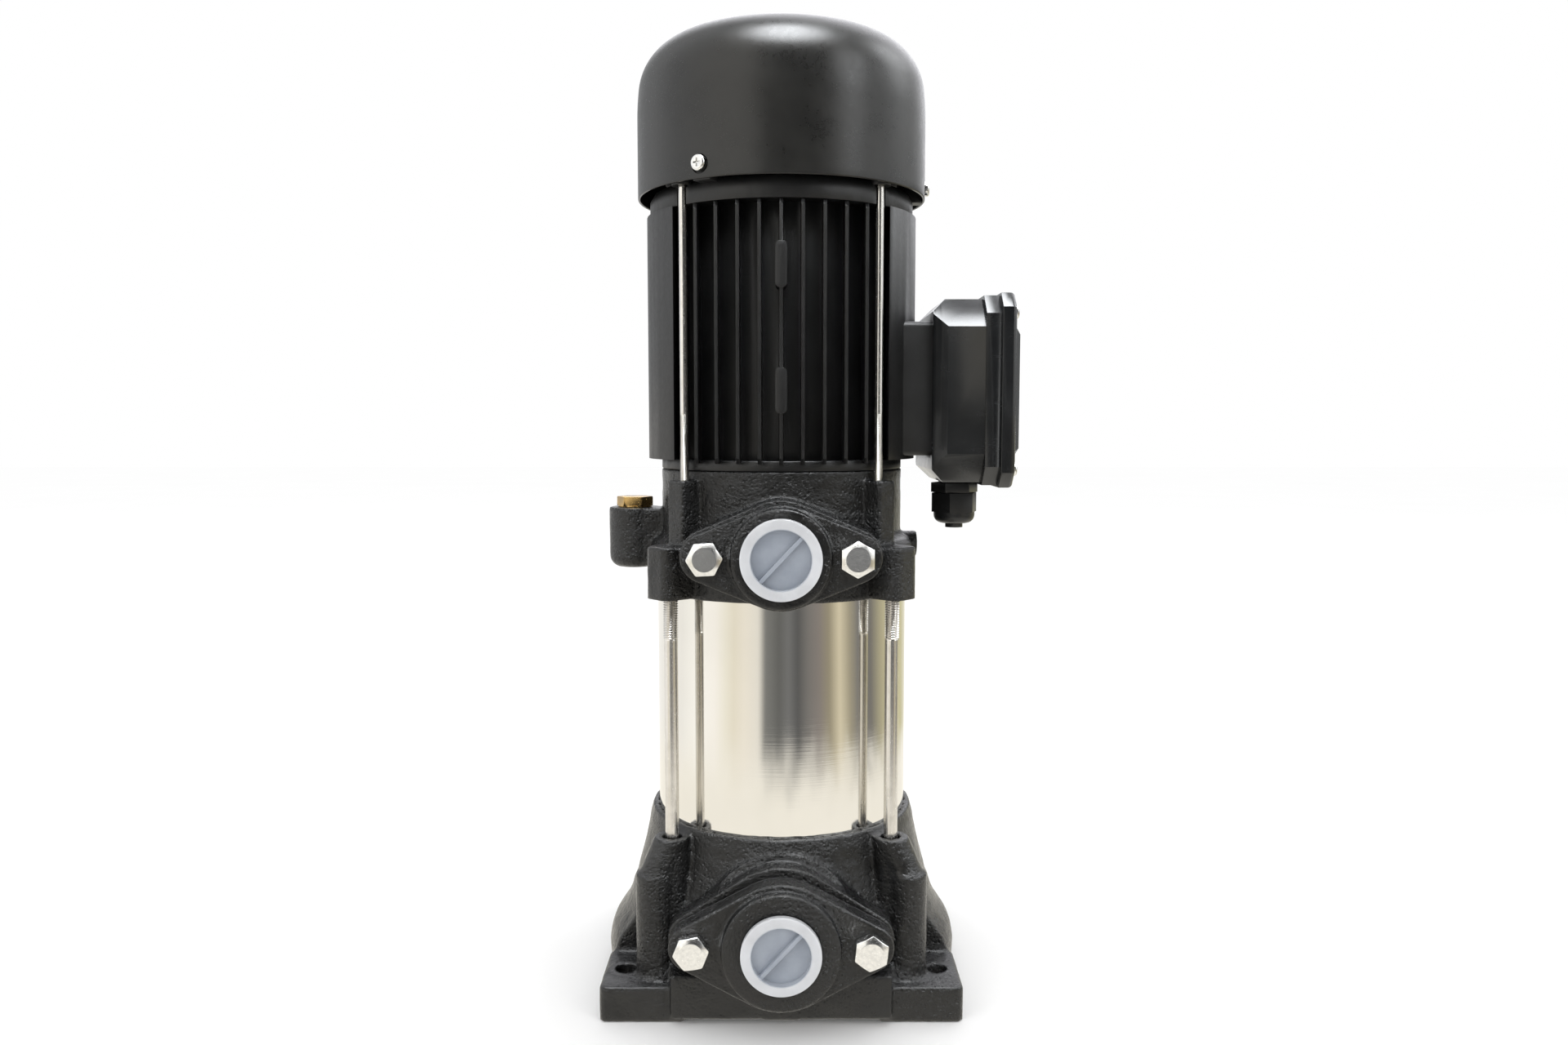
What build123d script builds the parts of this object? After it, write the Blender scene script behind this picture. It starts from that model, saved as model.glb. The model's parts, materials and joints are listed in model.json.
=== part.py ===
from build123d import *
import math
import os

# Vertical multistage centrifugal pump: cast base with front suction port, polished
# stainless sleeve round four stages, cast discharge head, close-coupled fan-cooled
# motor on top with a side terminal box.
# Frame: +Z is the shaft axis, upwards. The origin is on the mounting plane under the
# feet, at the centre of the foot bolt pattern. Both ports face -Y, the terminal box
# is on +X and the priming plug on -X. Millimetres throughout.

os.makedirs("parts", exist_ok=True)

# ------------------------------------------------------------------ driving dimensions
# base casting
Z_GAP = 3.5              # underside between the feet
Z_FOOT = 19.0            # top of the feet
FOOT_X0, FOOT_X1 = 49.0, 94.5
FOOT_Y0, FOOT_Y1 = 35.0, 79.0
BOLT_X, BOLT_Y = 82.5, 58.0      # foot bolt holes, half spacings
R_FOOT_HOLE = 5.25
Z_COLLAR = 95.0          # top of the base collar
R_COLLAR = 74.0
R_BELL = 84.5
R_BULGE = 98.5
Z_IN = 47.6              # suction port axis
# tie rods
R_TIE = 81.5             # pitch radius of the M8 tie rods
TIE_D = 8.0
Z_TIE_TOP = 236.0
Z_BOSS = 92.0            # top of the base rod bosses
# sleeve
R_SLEEVE = 69.8
T_SLEEVE = 1.5
Z_SLEEVE0, Z_SLEEVE1 = 91.0, 221.0
# head casting
Z_HEAD0, Z_HEAD1 = 217.4, 284.5
R_RING = 73.5            # lower ring of the head
Z_RING = 246.0
R_HEAD = 67.0
Z_OUT = 243.0            # discharge port axis
# ports
R_PLUG = 20.2            # transit plug rim
R_PORT = 19.5            # minor radius of the G 1 1/4 thread
BOLT_AF = 16.0           # M10 head
# motor
R_FRAME = 74.0
Z_FRAME0, Z_FRAME1 = 290.0, 420.5
R_ROD = 71.3             # pitch radius of the M5 through bolts
ROD_D = 5.0
# fan cover
R_COVER = 78.8
Z_COVER0, Z_DOME = 430.6, 472.3
T_COVER = 1.3
# terminal box
BOX_X0, BOX_X1 = 80.0, 114.8
BOX_HY = 46.0
BOX_Z0, BOX_Z1 = 277.5, 375.0
LID_X1 = 122.4
# hydraulics
N_STAGE = 4
STAGE = 24.5
Z_STACK = 98.0           # first chamber rests here, on the suction plate
R_CHAMBER = 67.8
R_SHAFT = 8.0
R_IMP = 50.0


# ------------------------------------------------------------------ small helpers
def cyl(r, z0, z1, x=0.0, y=0.0):
    return Pos(x, y, (z0 + z1) / 2) * Cylinder(r, z1 - z0)


def tube(ro, ri, z0, z1, x=0.0, y=0.0):
    return cyl(ro, z0, z1, x, y) - cyl(ri, z0 - 1, z1 + 1, x, y)


def cone(r0, r1, z0, z1, x=0.0, y=0.0):
    return Pos(x, y, (z0 + z1) / 2) * Cone(r0, r1, z1 - z0)


def ycyl(r, y0, y1, x=0.0, z=0.0):
    return Pos(x, (y0 + y1) / 2, z) * Rot(90, 0, 0) * Cylinder(r, abs(y1 - y0))


def xcyl(r, x0, x1, y=0.0, z=0.0):
    return Pos((x0 + x1) / 2, y, z) * Rot(0, 90, 0) * Cylinder(r, abs(x1 - x0))


def box(x0, x1, y0, y1, z0, z1):
    return Pos((x0 + x1) / 2, (y0 + y1) / 2, (z0 + z1) / 2) * Box(
        abs(x1 - x0), abs(y1 - y0), abs(z1 - z0)
    )


def rev(points):
    """Solid of revolution about Z of a closed (r, z) outline."""
    return revolve(make_face(Plane.XZ * Polyline(*points, close=True)), Axis.Z)


def hexz(af, z0, z1, x=0.0, y=0.0, turn=0.0):
    """Hexagonal prism along Z, af across flats, corners softened by a cone."""
    r = af / math.sqrt(3)
    body = Pos(x, y, z0) * Rot(0, 0, turn) * extrude(RegularPolygon(r, 6), z1 - z0)
    return body


def hexy(af, y0, y1, x, z, turn=0.0):
    """Hexagonal prism along -Y from y0 (near) to y1, with its outer corners chamfered."""
    r = af / math.sqrt(3)
    h = abs(y1 - y0)
    body = extrude(RegularPolygon(r, 6), h)
    body = body & (Pos(0, 0, h / 2) * Cylinder(r * 1.02, h))
    body = body & cone(r * 1.02 + h * 1.0, r * 0.9, 0, h * 1.0)
    return Pos(x, y0, z) * Rot(90, 0, 0) * Rot(0, 0, turn) * body


def around(n, shape, start=0.0):
    return [Rot(0, 0, start + 360.0 / n * i) * shape for i in range(n)]


def fuse(parts):
    first, *rest = parts
    return first.fuse(*rest) if rest else first


def solid_of(shape):
    """The one solid of a shape that should be a single body."""
    s = shape.solids()
    return s[0] if len(s) == 1 else Compound(list(s))


def put(name, *shapes):
    """Write one node; several shapes make a group of separate solids."""
    solids = []
    for s in shapes:
        solids.extend(s.solids())
    out = solids[0] if len(solids) == 1 else Compound(solids)
    export_step(out, f"parts/{name}.step")


def try_fillet(shape, edges, radii):
    """Largest of the given radii that the edges take."""
    for r in radii:
        try:
            out = fillet(edges, r)
            if out.is_valid and out.volume > 0:
                return out
        except Exception:
            continue
    return shape


def oval_face(rc, d, re):
    """Two-bolt oval outline: centre circle rc, end circles re at +-d."""
    edges = [
        *Circle(rc).edges(),
        *(Pos(d, 0) * Circle(re)).edges(),
        *(Pos(-d, 0) * Circle(re)).edges(),
    ]
    return make_hull(edges)


def oval(rc, d, re, z, y0, t):
    """Oval plate standing on -Y: from y = -y0 outwards by t."""
    return extrude(Plane.XZ.offset(y0) * Pos(0, z) * oval_face(rc, d, re), t)


def at(radius, deg):
    """Point on a circle; deg is measured from -Y towards +X."""
    a = math.radians(deg)
    return radius * math.sin(a), -radius * math.cos(a)


QUAD = (-45, 45, 135, 225)
S45 = math.sqrt(0.5)

# ------------------------------------------------------------------ pump base
# Bell-shaped water casing with a round side flare, four feet and a front port neck.
bell = rev(
    [(0, Z_GAP), (R_BELL, Z_GAP), (R_BELL, 44), (83.4, 51), (81.6, 59), (79.4, 67), (77.4, 75),
     (75.8, 83), (75.0, 88), (R_COLLAR, 91.5), (R_COLLAR - 0.8, Z_COLLAR), (0, Z_COLLAR)]
)
flare = rev(
    [(60, Z_GAP), (R_BULGE - 0.6, Z_GAP), (R_BULGE, 17), (R_BULGE - 0.9, 22.5), (96.0, 27),
     (93.0, 31.5), (89.5, 36.5), (86.5, 43), (84.5, 50), (60, 50)]
) & box(-110, 110, -37, 37, 0, 60)
flare_edges = [
    e for e in flare.edges().filter_by(GeomType.LINE).filter_by(Axis.Z)
    if abs(e.center().X) > 80
]
base = bell + flare
for sx in (-1, 1):
    for sy in (-1, 1):
        foot = box(sx * FOOT_X0, sx * FOOT_X1, sy * FOOT_Y0, sy * FOOT_Y1, 0, Z_FOOT)
        foot = fillet(
            [e for e in foot.edges().filter_by(Axis.Z) if abs(e.center().Y) > 60], 4.0
        )
        foot = fillet(foot.edges().group_by(Axis.Z)[-1], 1.8)
        base += foot
        # low mound round the bolt hole, faced flat on top
        base += cone(11.5, 9.5, Z_FOOT - 1, Z_FOOT + 0.7, sx * BOLT_X, sy * BOLT_Y)
# front skirt wall between the feet and the suction neck
base += box(-57, 57, -83.5, -50, Z_GAP, 27)
base += ycyl(40.5, -76, 0, 0, Z_IN) & box(-60, 60, -80, 10, Z_GAP, 120)
base += oval(37.0, 44.75, 13.0, Z_IN, 72.0, 13.5) & box(-70, 70, -90, -60, Z_GAP, 120)
base += oval(40.0, 44.0, 9.0, Z_IN, 60.0, 14.0) & box(-70, 70, -90, -50, Z_GAP, 120)
# rod bosses: straight boss round each rod, and an oblique column outside it
for sx in (-1, 1):
    for sy in (-1, 1):
        px, py = sx * R_TIE * S45, sy * R_TIE * S45
        cx, cy = sx * 66.2, sy * 61.4
        # oblique barrel from the column to the boss face
        d = Vector(px - cx, py - cy, Z_BOSS - 72.0)
        base += extrude(Plane((cx, cy, 72.0)) * Circle(9.6), amount=d.length, dir=d.normalized())
        base += cyl(10.6, Z_GAP, 74.2, cx, cy)
        base += cyl(9.3, Z_GAP, Z_BOSS - 1.0, px, py)
        # root swelling of the column on the foot
        base += cone(14.5, 10.0, Z_FOOT - 2, Z_FOOT + 9, cx - sx * 2.0, cy - sy * 1.0)
# dimples in the side flares
for sx in (-1, 1):
    base -= Pos(sx * 96.5, -14, 32.0) * Sphere(3.2)
# water chamber, suction passage, sleeve groove
base -= cyl(64.0, 14.0, 88.0)
base -= cyl(60.0, 80.0, Z_COLLAR + 5)
base -= tube(R_SLEEVE + 0.35, R_SLEEVE - T_SLEEVE - 0.3, 89.0, Z_COLLAR + 2)
base -= ycyl(17.5, -100, -50, 0, Z_IN)
# bolt holes through the feet, rod holes, head recesses under the rods
for sx in (-1, 1):
    for sy in (-1, 1):
        px, py = sx * R_TIE * S45, sy * R_TIE * S45
        base -= cyl(R_FOOT_HOLE, -1, 30, sx * BOLT_X, sy * BOLT_Y)
        base -= cyl(TIE_D / 2 + 0.9, -1, 100, px, py)
        base -= cyl(9.2, -1, 14.0, px, py)
# tapped holes for the flange bolts
for sx in (-1, 1):
    base -= ycyl(5.0, -90, -75.0, sx * 44.75, Z_IN)
put("pump_base", solid_of(base))

# ------------------------------------------------------------------ port counter-flanges
IN_Y0, IN_Y1, IN_Y2 = 87.0, 98.0, 103.4      # back, plate face, boss face
OUT_Y0, OUT_Y1, OUT_Y2 = 83.5, 92.0, 97.2


def counter_flange(z, y0, y1, y2, rc, d, re, rb):
    s = oval(rc, d, re, z, y0, y1 - y0)
    s = fillet(s.edges().group_by(Axis.Y)[0], 1.0)
    boss = ycyl(rb, -y2, -y0, 0, z)
    boss = fillet(boss.edges().group_by(Axis.Y)[0], 1.2)
    s = s + boss
    s -= ycyl(R_PORT, -y2 - 1, -y0 + 1, 0, z)
    for sx in (-1, 1):
        s -= ycyl(5.5, -y2 - 1, -y0 + 1, sx * d, z)
    return s


put("inlet_flange", solid_of(counter_flange(Z_IN, IN_Y0, IN_Y1, IN_Y2, 33.0, 44.75, 11.9, 30.0)))
put("outlet_flange", solid_of(counter_flange(Z_OUT, OUT_Y0, OUT_Y1, OUT_Y2, 26.5, 37.45, 12.4, 25.0)))


def flange_gasket(z, y0, y1, rc, d, re):
    s = oval(rc, d, re, z, y0, y1 - y0) - ycyl(R_PORT, -y1 - 1, -y0 + 1, 0, z)
    for sx in (-1, 1):
        s -= ycyl(5.5, -y1 - 1, -y0 + 1, sx * d, z)
    return s


put("inlet_gasket", solid_of(flange_gasket(Z_IN, 85.5, 87.0, 32.5, 44.75, 11.4)))
put("outlet_gasket", solid_of(flange_gasket(Z_OUT, 82.0, 83.5, 26.0, 37.45, 11.9)))


def flange_bolt(x, z, face, tip, turn):
    head = hexy(BOLT_AF, -face, -(face + 6.4), x, z, turn)
    head -= ycyl(6.6, -(face + 6.4) - 1, -(face + 6.4) + 0.25, x, z)
    return head + ycyl(4.9, -face - 0.5, -tip, x, z)


put("inlet_flange_bolts",
    solid_of(flange_bolt(-44.75, Z_IN, IN_Y1, 76.0, 8)),
    solid_of(flange_bolt(44.75, Z_IN, IN_Y1, 76.0, 24)))
put("outlet_flange_bolts",
    solid_of(flange_bolt(-37.45, Z_OUT, OUT_Y1, 70.0, 3)),
    solid_of(flange_bolt(37.45, Z_OUT, OUT_Y1, 70.0, 30)))


def transit_plug(z, face):
    """Screw-in plastic plug: rim outside the boss face, hollow cup with a cross bar."""
    rim = ycyl(R_PLUG, -face - 3.6, -face - 0.3, 0, z)
    rim = fillet(rim.edges().group_by(Axis.Y)[0], 0.8)
    s = rim + ycyl(R_PORT - 0.3, -face - 1.0, -face + 11.0, 0, z)
    s -= ycyl(14.9, -face - 5, -face + 0.6, 0, z)
    s -= ycyl(14.9, -face + 2.8, -face + 12, 0, z)
    bar = box(-15.4, 15.4, -face - 2.4, -face + 1.0, -0.9, 0.9)
    s += Pos(0, 0, z) * (Rot(0, -47, 0) * bar)
    return s


put("inlet_transit_plug", solid_of(transit_plug(Z_IN, IN_Y2)))
put("outlet_transit_plug", solid_of(transit_plug(Z_OUT, OUT_Y2)))

# ------------------------------------------------------------------ pump head
head = rev([(0, Z_HEAD0), (R_RING - 0.8, Z_HEAD0), (R_RING, Z_HEAD0 + 0.8), (R_RING, Z_RING - 3),
            (R_RING - 2.2, Z_RING), (R_HEAD + 1.5, Z_RING + 1.5), (R_HEAD, Z_RING + 4),
            (R_HEAD, Z_HEAD1 - 0.5), (R_HEAD - 0.5, Z_HEAD1), (0, Z_HEAD1)])
for a in QUAD:
    # lug for the tie rod, square to the radius
    lug = box(-9.8, 9.8, -92.0, -60.0, Z_HEAD0 + 0.9, Z_RING)
    lug = fillet([e for e in lug.edges().filter_by(Axis.Z) if e.center().Y < -80], 6.0)
    lug = fillet(lug.edges().group_by(Axis.Z)[-1], 1.2)
    head += Rot(0, 0, a) * lug
    # square boss for the motor through bolt
    boss = box(-6.3, 6.3, -78.2, -55.0, Z_RING - 6, 279.5)
    boss = fillet([e for e in boss.edges().filter_by(Axis.Z) if e.center().Y < -70], 1.6)
    boss = fillet(boss.edges().group_by(Axis.Z)[-1], 0.8)
    head += Rot(0, 0, a) * boss
# discharge pad: oval front pad with an arched body behind it
head += ycyl(27.2, -79.0, -40, 0, Z_OUT) & box(-60, 60, -90, -30, Z_HEAD0, 300)
head += oval(28.0, 37.45, 13.4, Z_OUT, 60.0, 22.0) & box(-70, 70, -90, -50, Z_HEAD0 + 0.4, 300)
# small round lug on the terminal-box side
head += xcyl(7.3, 60, 76.2, 0, 241.5)
# priming boss on the other side
prim = cyl(14.4, 228.6, 262.5, -82.8, 0)
prim = fillet(prim.edges().group_by(Axis.Z)[0], 6.5)
prim = fillet(prim.edges().group_by(Axis.Z)[-1], 1.0)
head += prim
head += box(-82.8, -60, -13.2, 13.2, 232.0, 262.0)
# water space, discharge passage, seal wall, dry lantern
head -= cyl(52.0, Z_HEAD0 - 1, 262.0)
head -= cyl(17.0, 255.0, 275.0)
head -= cyl(55.0, 270.0, Z_HEAD1 + 1)
head -= ycyl(17.5, -90, -30, 0, Z_OUT)
head -= tube(R_SLEEVE + 0.35, R_SLEEVE - T_SLEEVE - 0.3, Z_HEAD0 - 1, 223.0)
# priming channel and thread
head -= cyl(8.3, 246.0, 270.0, -82.8, 0)
head -= xcyl(5.0, -82.8, -45, 0, 250.0)
for a in QUAD:
    tx, ty = at(R_TIE, a)
    head -= cyl(TIE_D / 2, Z_HEAD0 - 1, 237.0, tx, ty)
    rx, ry = at(R_ROD, a)
    head -= cyl(ROD_D / 2, 258.0, 290.0, rx, ry)
for sx in (-1, 1):
    head -= ycyl(5.0, -90, -68.0, sx * 37.45, Z_OUT)
# drain slots of the dry lantern, left and right
for sx in (-1, 1):
    head -= box(sx * 50, sx * 72, -9, 9, 272.5, 278.5)
put("pump_head", solid_of(head))

# ------------------------------------------------------------------ sleeve and its seals
put("outer_sleeve", tube(R_SLEEVE, R_SLEEVE - T_SLEEVE, Z_SLEEVE0, Z_SLEEVE1))
put("sleeve_seal_lower", tube(R_SLEEVE + 0.2, R_SLEEVE - T_SLEEVE - 0.2, 89.0, Z_SLEEVE0))
put("sleeve_seal_upper", tube(R_SLEEVE + 0.2, R_SLEEVE - T_SLEEVE - 0.2, Z_SLEEVE1, 223.0))

# ------------------------------------------------------------------ tie rods
rods, washers = [], []
for a in QUAD:
    tx, ty = at(R_TIE, a)
    r = cyl(TIE_D / 2 - 0.05, 11.0, Z_TIE_TOP, tx, ty)
    r = chamfer(r.edges().group_by(Axis.Z)[-1], 0.8)
    r = r + hexz(13.0, 6.9, 12.2, tx, ty, a)
    rods.append(solid_of(r))
    washers.append(tube(8.0, TIE_D / 2 + 0.2, 12.2, 14.0, tx, ty))
put("tie_rods", *rods)
put("tie_rod_washers", *washers)

# ------------------------------------------------------------------ hydraulics
# suction plate with the wear ring of the first impeller
plate = tube(67.6, 21.0, Z_COLLAR, Z_STACK)
plate += tube(25.0, 21.0, Z_STACK - 1, Z_STACK + 0.6)
put("suction_plate", solid_of(plate))


def stage_chamber(z):
    """Chamber: outer wall, diffuser disc, guide vanes and top plate in one moulding."""
    s = tube(R_CHAMBER, R_CHAMBER - 3.0, z, z + STAGE)
    s += tube(R_CHAMBER - 1, 21.0, z + STAGE - 3.0, z + STAGE)
    s += tube(55.0, 24.0, z + 14.0, z + 16.0)
    vane = extrude(
        make_face(
            Plane.XY.offset(z + 15.5)
            * Polyline((24.5, -1.1), (40, 3.2), (54.5, 11.0), (54.0, 13.2), (39, 5.6), (24.5, 1.1), close=True)
        ),
        7.0,
    )
    for v in around(9, vane):
        s += v
    return solid_of(s)


def impeller(z):
    """Closed impeller: eye ring, front shroud, six vanes, back shroud, hub."""
    s = tube(R_IMP, 17.4, z + 3.4, z + 5.2)
    s += tube(20.4, 17.4, z - 2.4, z + 5.2)
    s += tube(R_IMP, R_SHAFT + 0.0, z + 9.4, z + 11.2)
    s += tube(12.5, R_SHAFT + 0.0, z + 2.0, z + 13.0)
    vane = extrude(
        make_face(
            Plane.XY.offset(z + 4.4)
            * Polyline((17.8, 0.0), (30, 7.2), (48.2, 8.8), (48.4, 7.2), (31, 5.6), (18.6, -1.0), close=True)
        ),
        6.0,
    )
    for v in around(6, vane):
        s += v
    return solid_of(s)


for i in range(N_STAGE):
    z = Z_STACK + i * STAGE
    put(f"stage_chamber_{i + 1}", stage_chamber(z))
    put(f"impeller_{i + 1}", impeller(z))

# spacer sleeves between the impeller hubs
spacers = []
for i in range(N_STAGE - 1):
    z = Z_STACK + i * STAGE
    spacers.append(tube(11.5, R_SHAFT, z + 13.0, z + STAGE + 2.0))
z_last = Z_STACK + (N_STAGE - 1) * STAGE + 13.0
spacers.append(tube(11.0, R_SHAFT, z_last, 216.0))      # journal in the guide bush
put("impeller_spacers", *spacers)

# discharge chamber above the last stage: cage that carries the guide bush
Z_DC = Z_STACK + N_STAGE * STAGE            # 196.0
dc = tube(R_CHAMBER, R_CHAMBER - 3.0, Z_DC, 214.0)
dc += tube(24.0, 15.2, 206.0, 214.0)
for s_ in around(6, box(-2.0, 2.0, 23.0, 66.0, 208.0, 214.0)):
    dc += s_
put("discharge_chamber", solid_of(dc))
put("guide_bush", tube(15.2, R_SHAFT + 3.06, 206.0, 214.0))
put("stack_spring", tube(66.8, 60.0, 214.0, Z_HEAD0))

# lower end: washer and lock nut hold the impellers on the shaft
nut = hexz(15.0, 91.0, 98.4) - cyl(5.0, 90, 100)
nut = nut + tube(11.0, 5.0, 98.4, 100.0)
put("impeller_nut", solid_of(nut))

# ------------------------------------------------------------------ shaft (pump and motor in one)
shaft = rev(
    [(0, 89.0), (4.4, 89.0), (5.0, 89.6), (5.0, 100.0), (8.0, 100.0), (8.0, 281.0), (10.0, 282.0), (10.0, 303.0),
     (12.0, 303.0), (12.0, 416.5), (10.0, 416.5), (10.0, 430.5), (7.0, 430.5), (7.0, 470.4),
     (6.4, 471.0), (0, 471.0)]
)
put("shaft", solid_of(shaft))

# ------------------------------------------------------------------ shaft seal
put("seal_seat", solid_of(tube(17.0, 8.6, 262.0, 269.0)))
put("seal_ring", solid_of(tube(14.5, 8.0, 256.0, 262.0)))
bellows = rev([(8.0, 232.0), (14.5, 232.0), (14.5, 234.0), (12.6, 236.5), (14.2, 239.5), (12.6, 242.5),
               (14.2, 245.5), (12.6, 248.5), (14.2, 251.5), (14.2, 256.0), (8.0, 256.0)])
put("seal_bellows", solid_of(bellows))

# ------------------------------------------------------------------ motor, drive end
des = tube(66.8, 13.0, Z_HEAD1, Z_FRAME0)
des += tube(55.8, 23.5, Z_FRAME0 - 1, Z_FRAME0 + 5)
des += tube(29.5, 23.5, Z_FRAME0 - 1, 303.0)
des -= cyl(23.5, 288.0, 304.0)
put("drive_end_shield", solid_of(des))
put("shaft_slinger", solid_of(rev([(8.0, 274.5), (13.5, 274.5), (12.0, 276.5), (12.0, 280.5), (8.0, 280.5)])))


def bearing(prefix, z0, h, ri, ro, rb, n):
    rm = (ri + ro) / 2
    zc = z0 + h / 2
    t = (ro - ri) / 2
    groove = Pos(0, 0, zc) * Torus(rm, rb + 0.06)
    outer = tube(ro, rm + t * 0.30, z0, z0 + h) - groove
    inner = tube(rm - t * 0.30, ri, z0, z0 + h) - groove
    put(prefix + "_bearing_outer_ring", solid_of(outer))
    put(prefix + "_bearing_inner_ring", solid_of(inner))
    balls = [Rot(0, 0, 360.0 / n * i) * Pos(rm, 0, zc) * Sphere(rb) for i in range(n)]
    put(prefix + "_bearing_balls", *balls)


bearing("lower", 288.0, 14.0, 10.0, 23.5, 3.9, 8)
bearing("upper", 416.5, 14.0, 10.0, 23.5, 3.9, 8)

# ------------------------------------------------------------------ motor frame
frame = cyl(61.0, Z_FRAME0, Z_FRAME1)
cheek = tube(R_FRAME, 58.0, Z_FRAME0, Z_FRAME1)
for sx in (-1, 1):
    c = cheek & box(sx * 56.0, sx * 80.0, -60, 60, 280, 430)
    frame += c
# parallel cooling fins, front and back
FIN_X = (0.0, 10.9, 21.9, 32.9, 43.6)
for x in FIN_X:
    tip = math.sqrt(R_FRAME**2 - x**2)
    for sx in ((-1, 1) if x else (1,)):
        for sy in (-1, 1):
            f = make_face(
                Polyline((sx * x - 1.7, sy * 44.0), (sx * x - 0.85, sy * tip), (sx * x + 0.85, sy * tip),
                         (sx * x + 1.7, sy * 44.0), close=True)
            )
            f = extrude(Pos(0, 0, Z_FRAME0 - 1.5) * f, Z_FRAME1 - Z_FRAME0 + 2.0)
            # swept-back end corners of the fin
            f -= Pos(sx * x, sy * tip, Z_FRAME1 + 0.5) * Rot(45, 0, 0) * Box(10, 5, 5)
            f -= Pos(sx * x, sy * tip, Z_FRAME0 - 1.5) * Rot(45, 0, 0) * Box(10, 4, 4)
            frame += f
# lifting pads on the middle fin, ejector pads of the die casting
for sy in (-1, 1):
    for z0, z1 in ((313.8, 336.9), (376.2, 399.3)):
        pad = box(-2.9, 2.9, 60, 74.6, z0, z1)
        pad = fillet(pad.edges().filter_by(Axis.Y), 2.6)
        frame += pad if sy > 0 else mirror(pad, Plane.XZ)
# terminal box seat on +X
seat = box(60.0, BOX_X0, -36, 36, 292.0, 363.0)
seat = fillet(seat.edges().filter_by(Axis.X), 3.0)
frame += seat
frame -= cyl(56.0, Z_FRAME0 - 3, Z_FRAME1 + 3)
# the fin ends overhang the shields only outside their rims
frame -= cyl(67.2, Z_FRAME0 - 5, Z_FRAME0)
frame -= cyl(R_FRAME - 1.4, Z_FRAME1, Z_FRAME1 + 5)
frame -= xcyl(9.0, 50, 90, 0, 330.0)
for sy in (-1, 1):
    for zz in (300.0, 355.0):
        frame -= xcyl(2.0, 68.0, 90, sy * 28, zz)
put("motor_frame", solid_of(frame))

# ------------------------------------------------------------------ active parts
stator = tube(56.0, 33.5, 318.0, 398.0)
for s_ in around(24, box(-1.9, 1.9, 35.5, 47.0, 317.0, 399.0)):
    stator -= s_
put("stator_core", solid_of(stator))
w = rev([(35.2, 303.5), (38, 301.0), (49, 301.0), (52.5, 304.5), (52.5, 315.0), (47.2, 318.0), (35.2, 318.0)])
w2 = mirror(w, Plane.XY.offset(358.0))
put("stator_windings", solid_of(w), solid_of(w2))
rotor = tube(33.0, 12.0, 318.0, 398.0)
rotor += tube(31.5, 21.0, 311.0, 405.0)
put("rotor_core", solid_of(rotor))

# ------------------------------------------------------------------ upper end shield
ues = rev([(23.5, Z_FRAME1), (R_FRAME - 1.8, Z_FRAME1), (R_FRAME - 1.8, 428.5), (R_FRAME - 3.8, 432.0), (30.0, 434.0),
           (26.0, 436.0), (9.6, 436.0), (9.6, 431.0), (23.5, 431.0)])
ues += tube(55.8, 23.5, Z_FRAME1 - 5, Z_FRAME1 + 1)
ues -= cyl(23.5, 410.0, 431.0)
for a in QUAD:
    rx, ry = at(R_ROD, a)
    ues += cyl(5.8, 430.0, 434.0, rx, ry) & cyl(77.2, 400, 450)
for a in (-31, 89, 209):
    lug = box(-5.0, 5.0, -77.2, -66.0, 430.0, 443.0)
    ues += Rot(0, 0, a) * (lug & cyl(77.2, 400, 450))
for a in QUAD:
    rx, ry = at(R_ROD, a)
    ues -= cyl(2.8, 400.0, 440.0, rx, ry) + cyl(3.6, Z_FRAME1 - 1, 430.0, rx, ry)
for a in (-31, 89, 209):
    ues -= Rot(0, 0, a) * ycyl(2.0, -90, -68.0, 0, 438.0)
put("upper_end_shield", solid_of(ues))

# M5 through bolts: hex head with washer face on the upper shield lugs
tb = []
for a in QUAD:
    rx, ry = at(R_ROD, a)
    b = cyl(ROD_D / 2 - 0.05, 262.0, 436.0, rx, ry) + hexz(8.0, 434.8, 438.6, rx, ry, a + 15) + cyl(4.8, 434.0, 435.0, rx, ry)
    tb.append(solid_of(b))
put("motor_through_bolts", *tb)

# ------------------------------------------------------------------ fan
fan = tube(13.0, 7.0, 440.0, 466.0)
fan += tube(64.0, 12.5, 440.0, 442.5)
for s_ in around(9, box(-1.2, 1.2, 12.0, 64.0, 441.0, 470.0)):
    fan += s_
fan -= rev([(14.0, 473.0), (66.5, 473.0), (66.5, 462.0), (30.0, 466.5)])
put("cooling_fan", solid_of(fan))

# ------------------------------------------------------------------ fan cover
# Deep-drawn dome: straight skirt, then three tangent arcs (shoulder, corner, crown).
ARCS = ((147.745, 0.112331), (28.994, 1.169580))      # radius, sweep in radians


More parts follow.
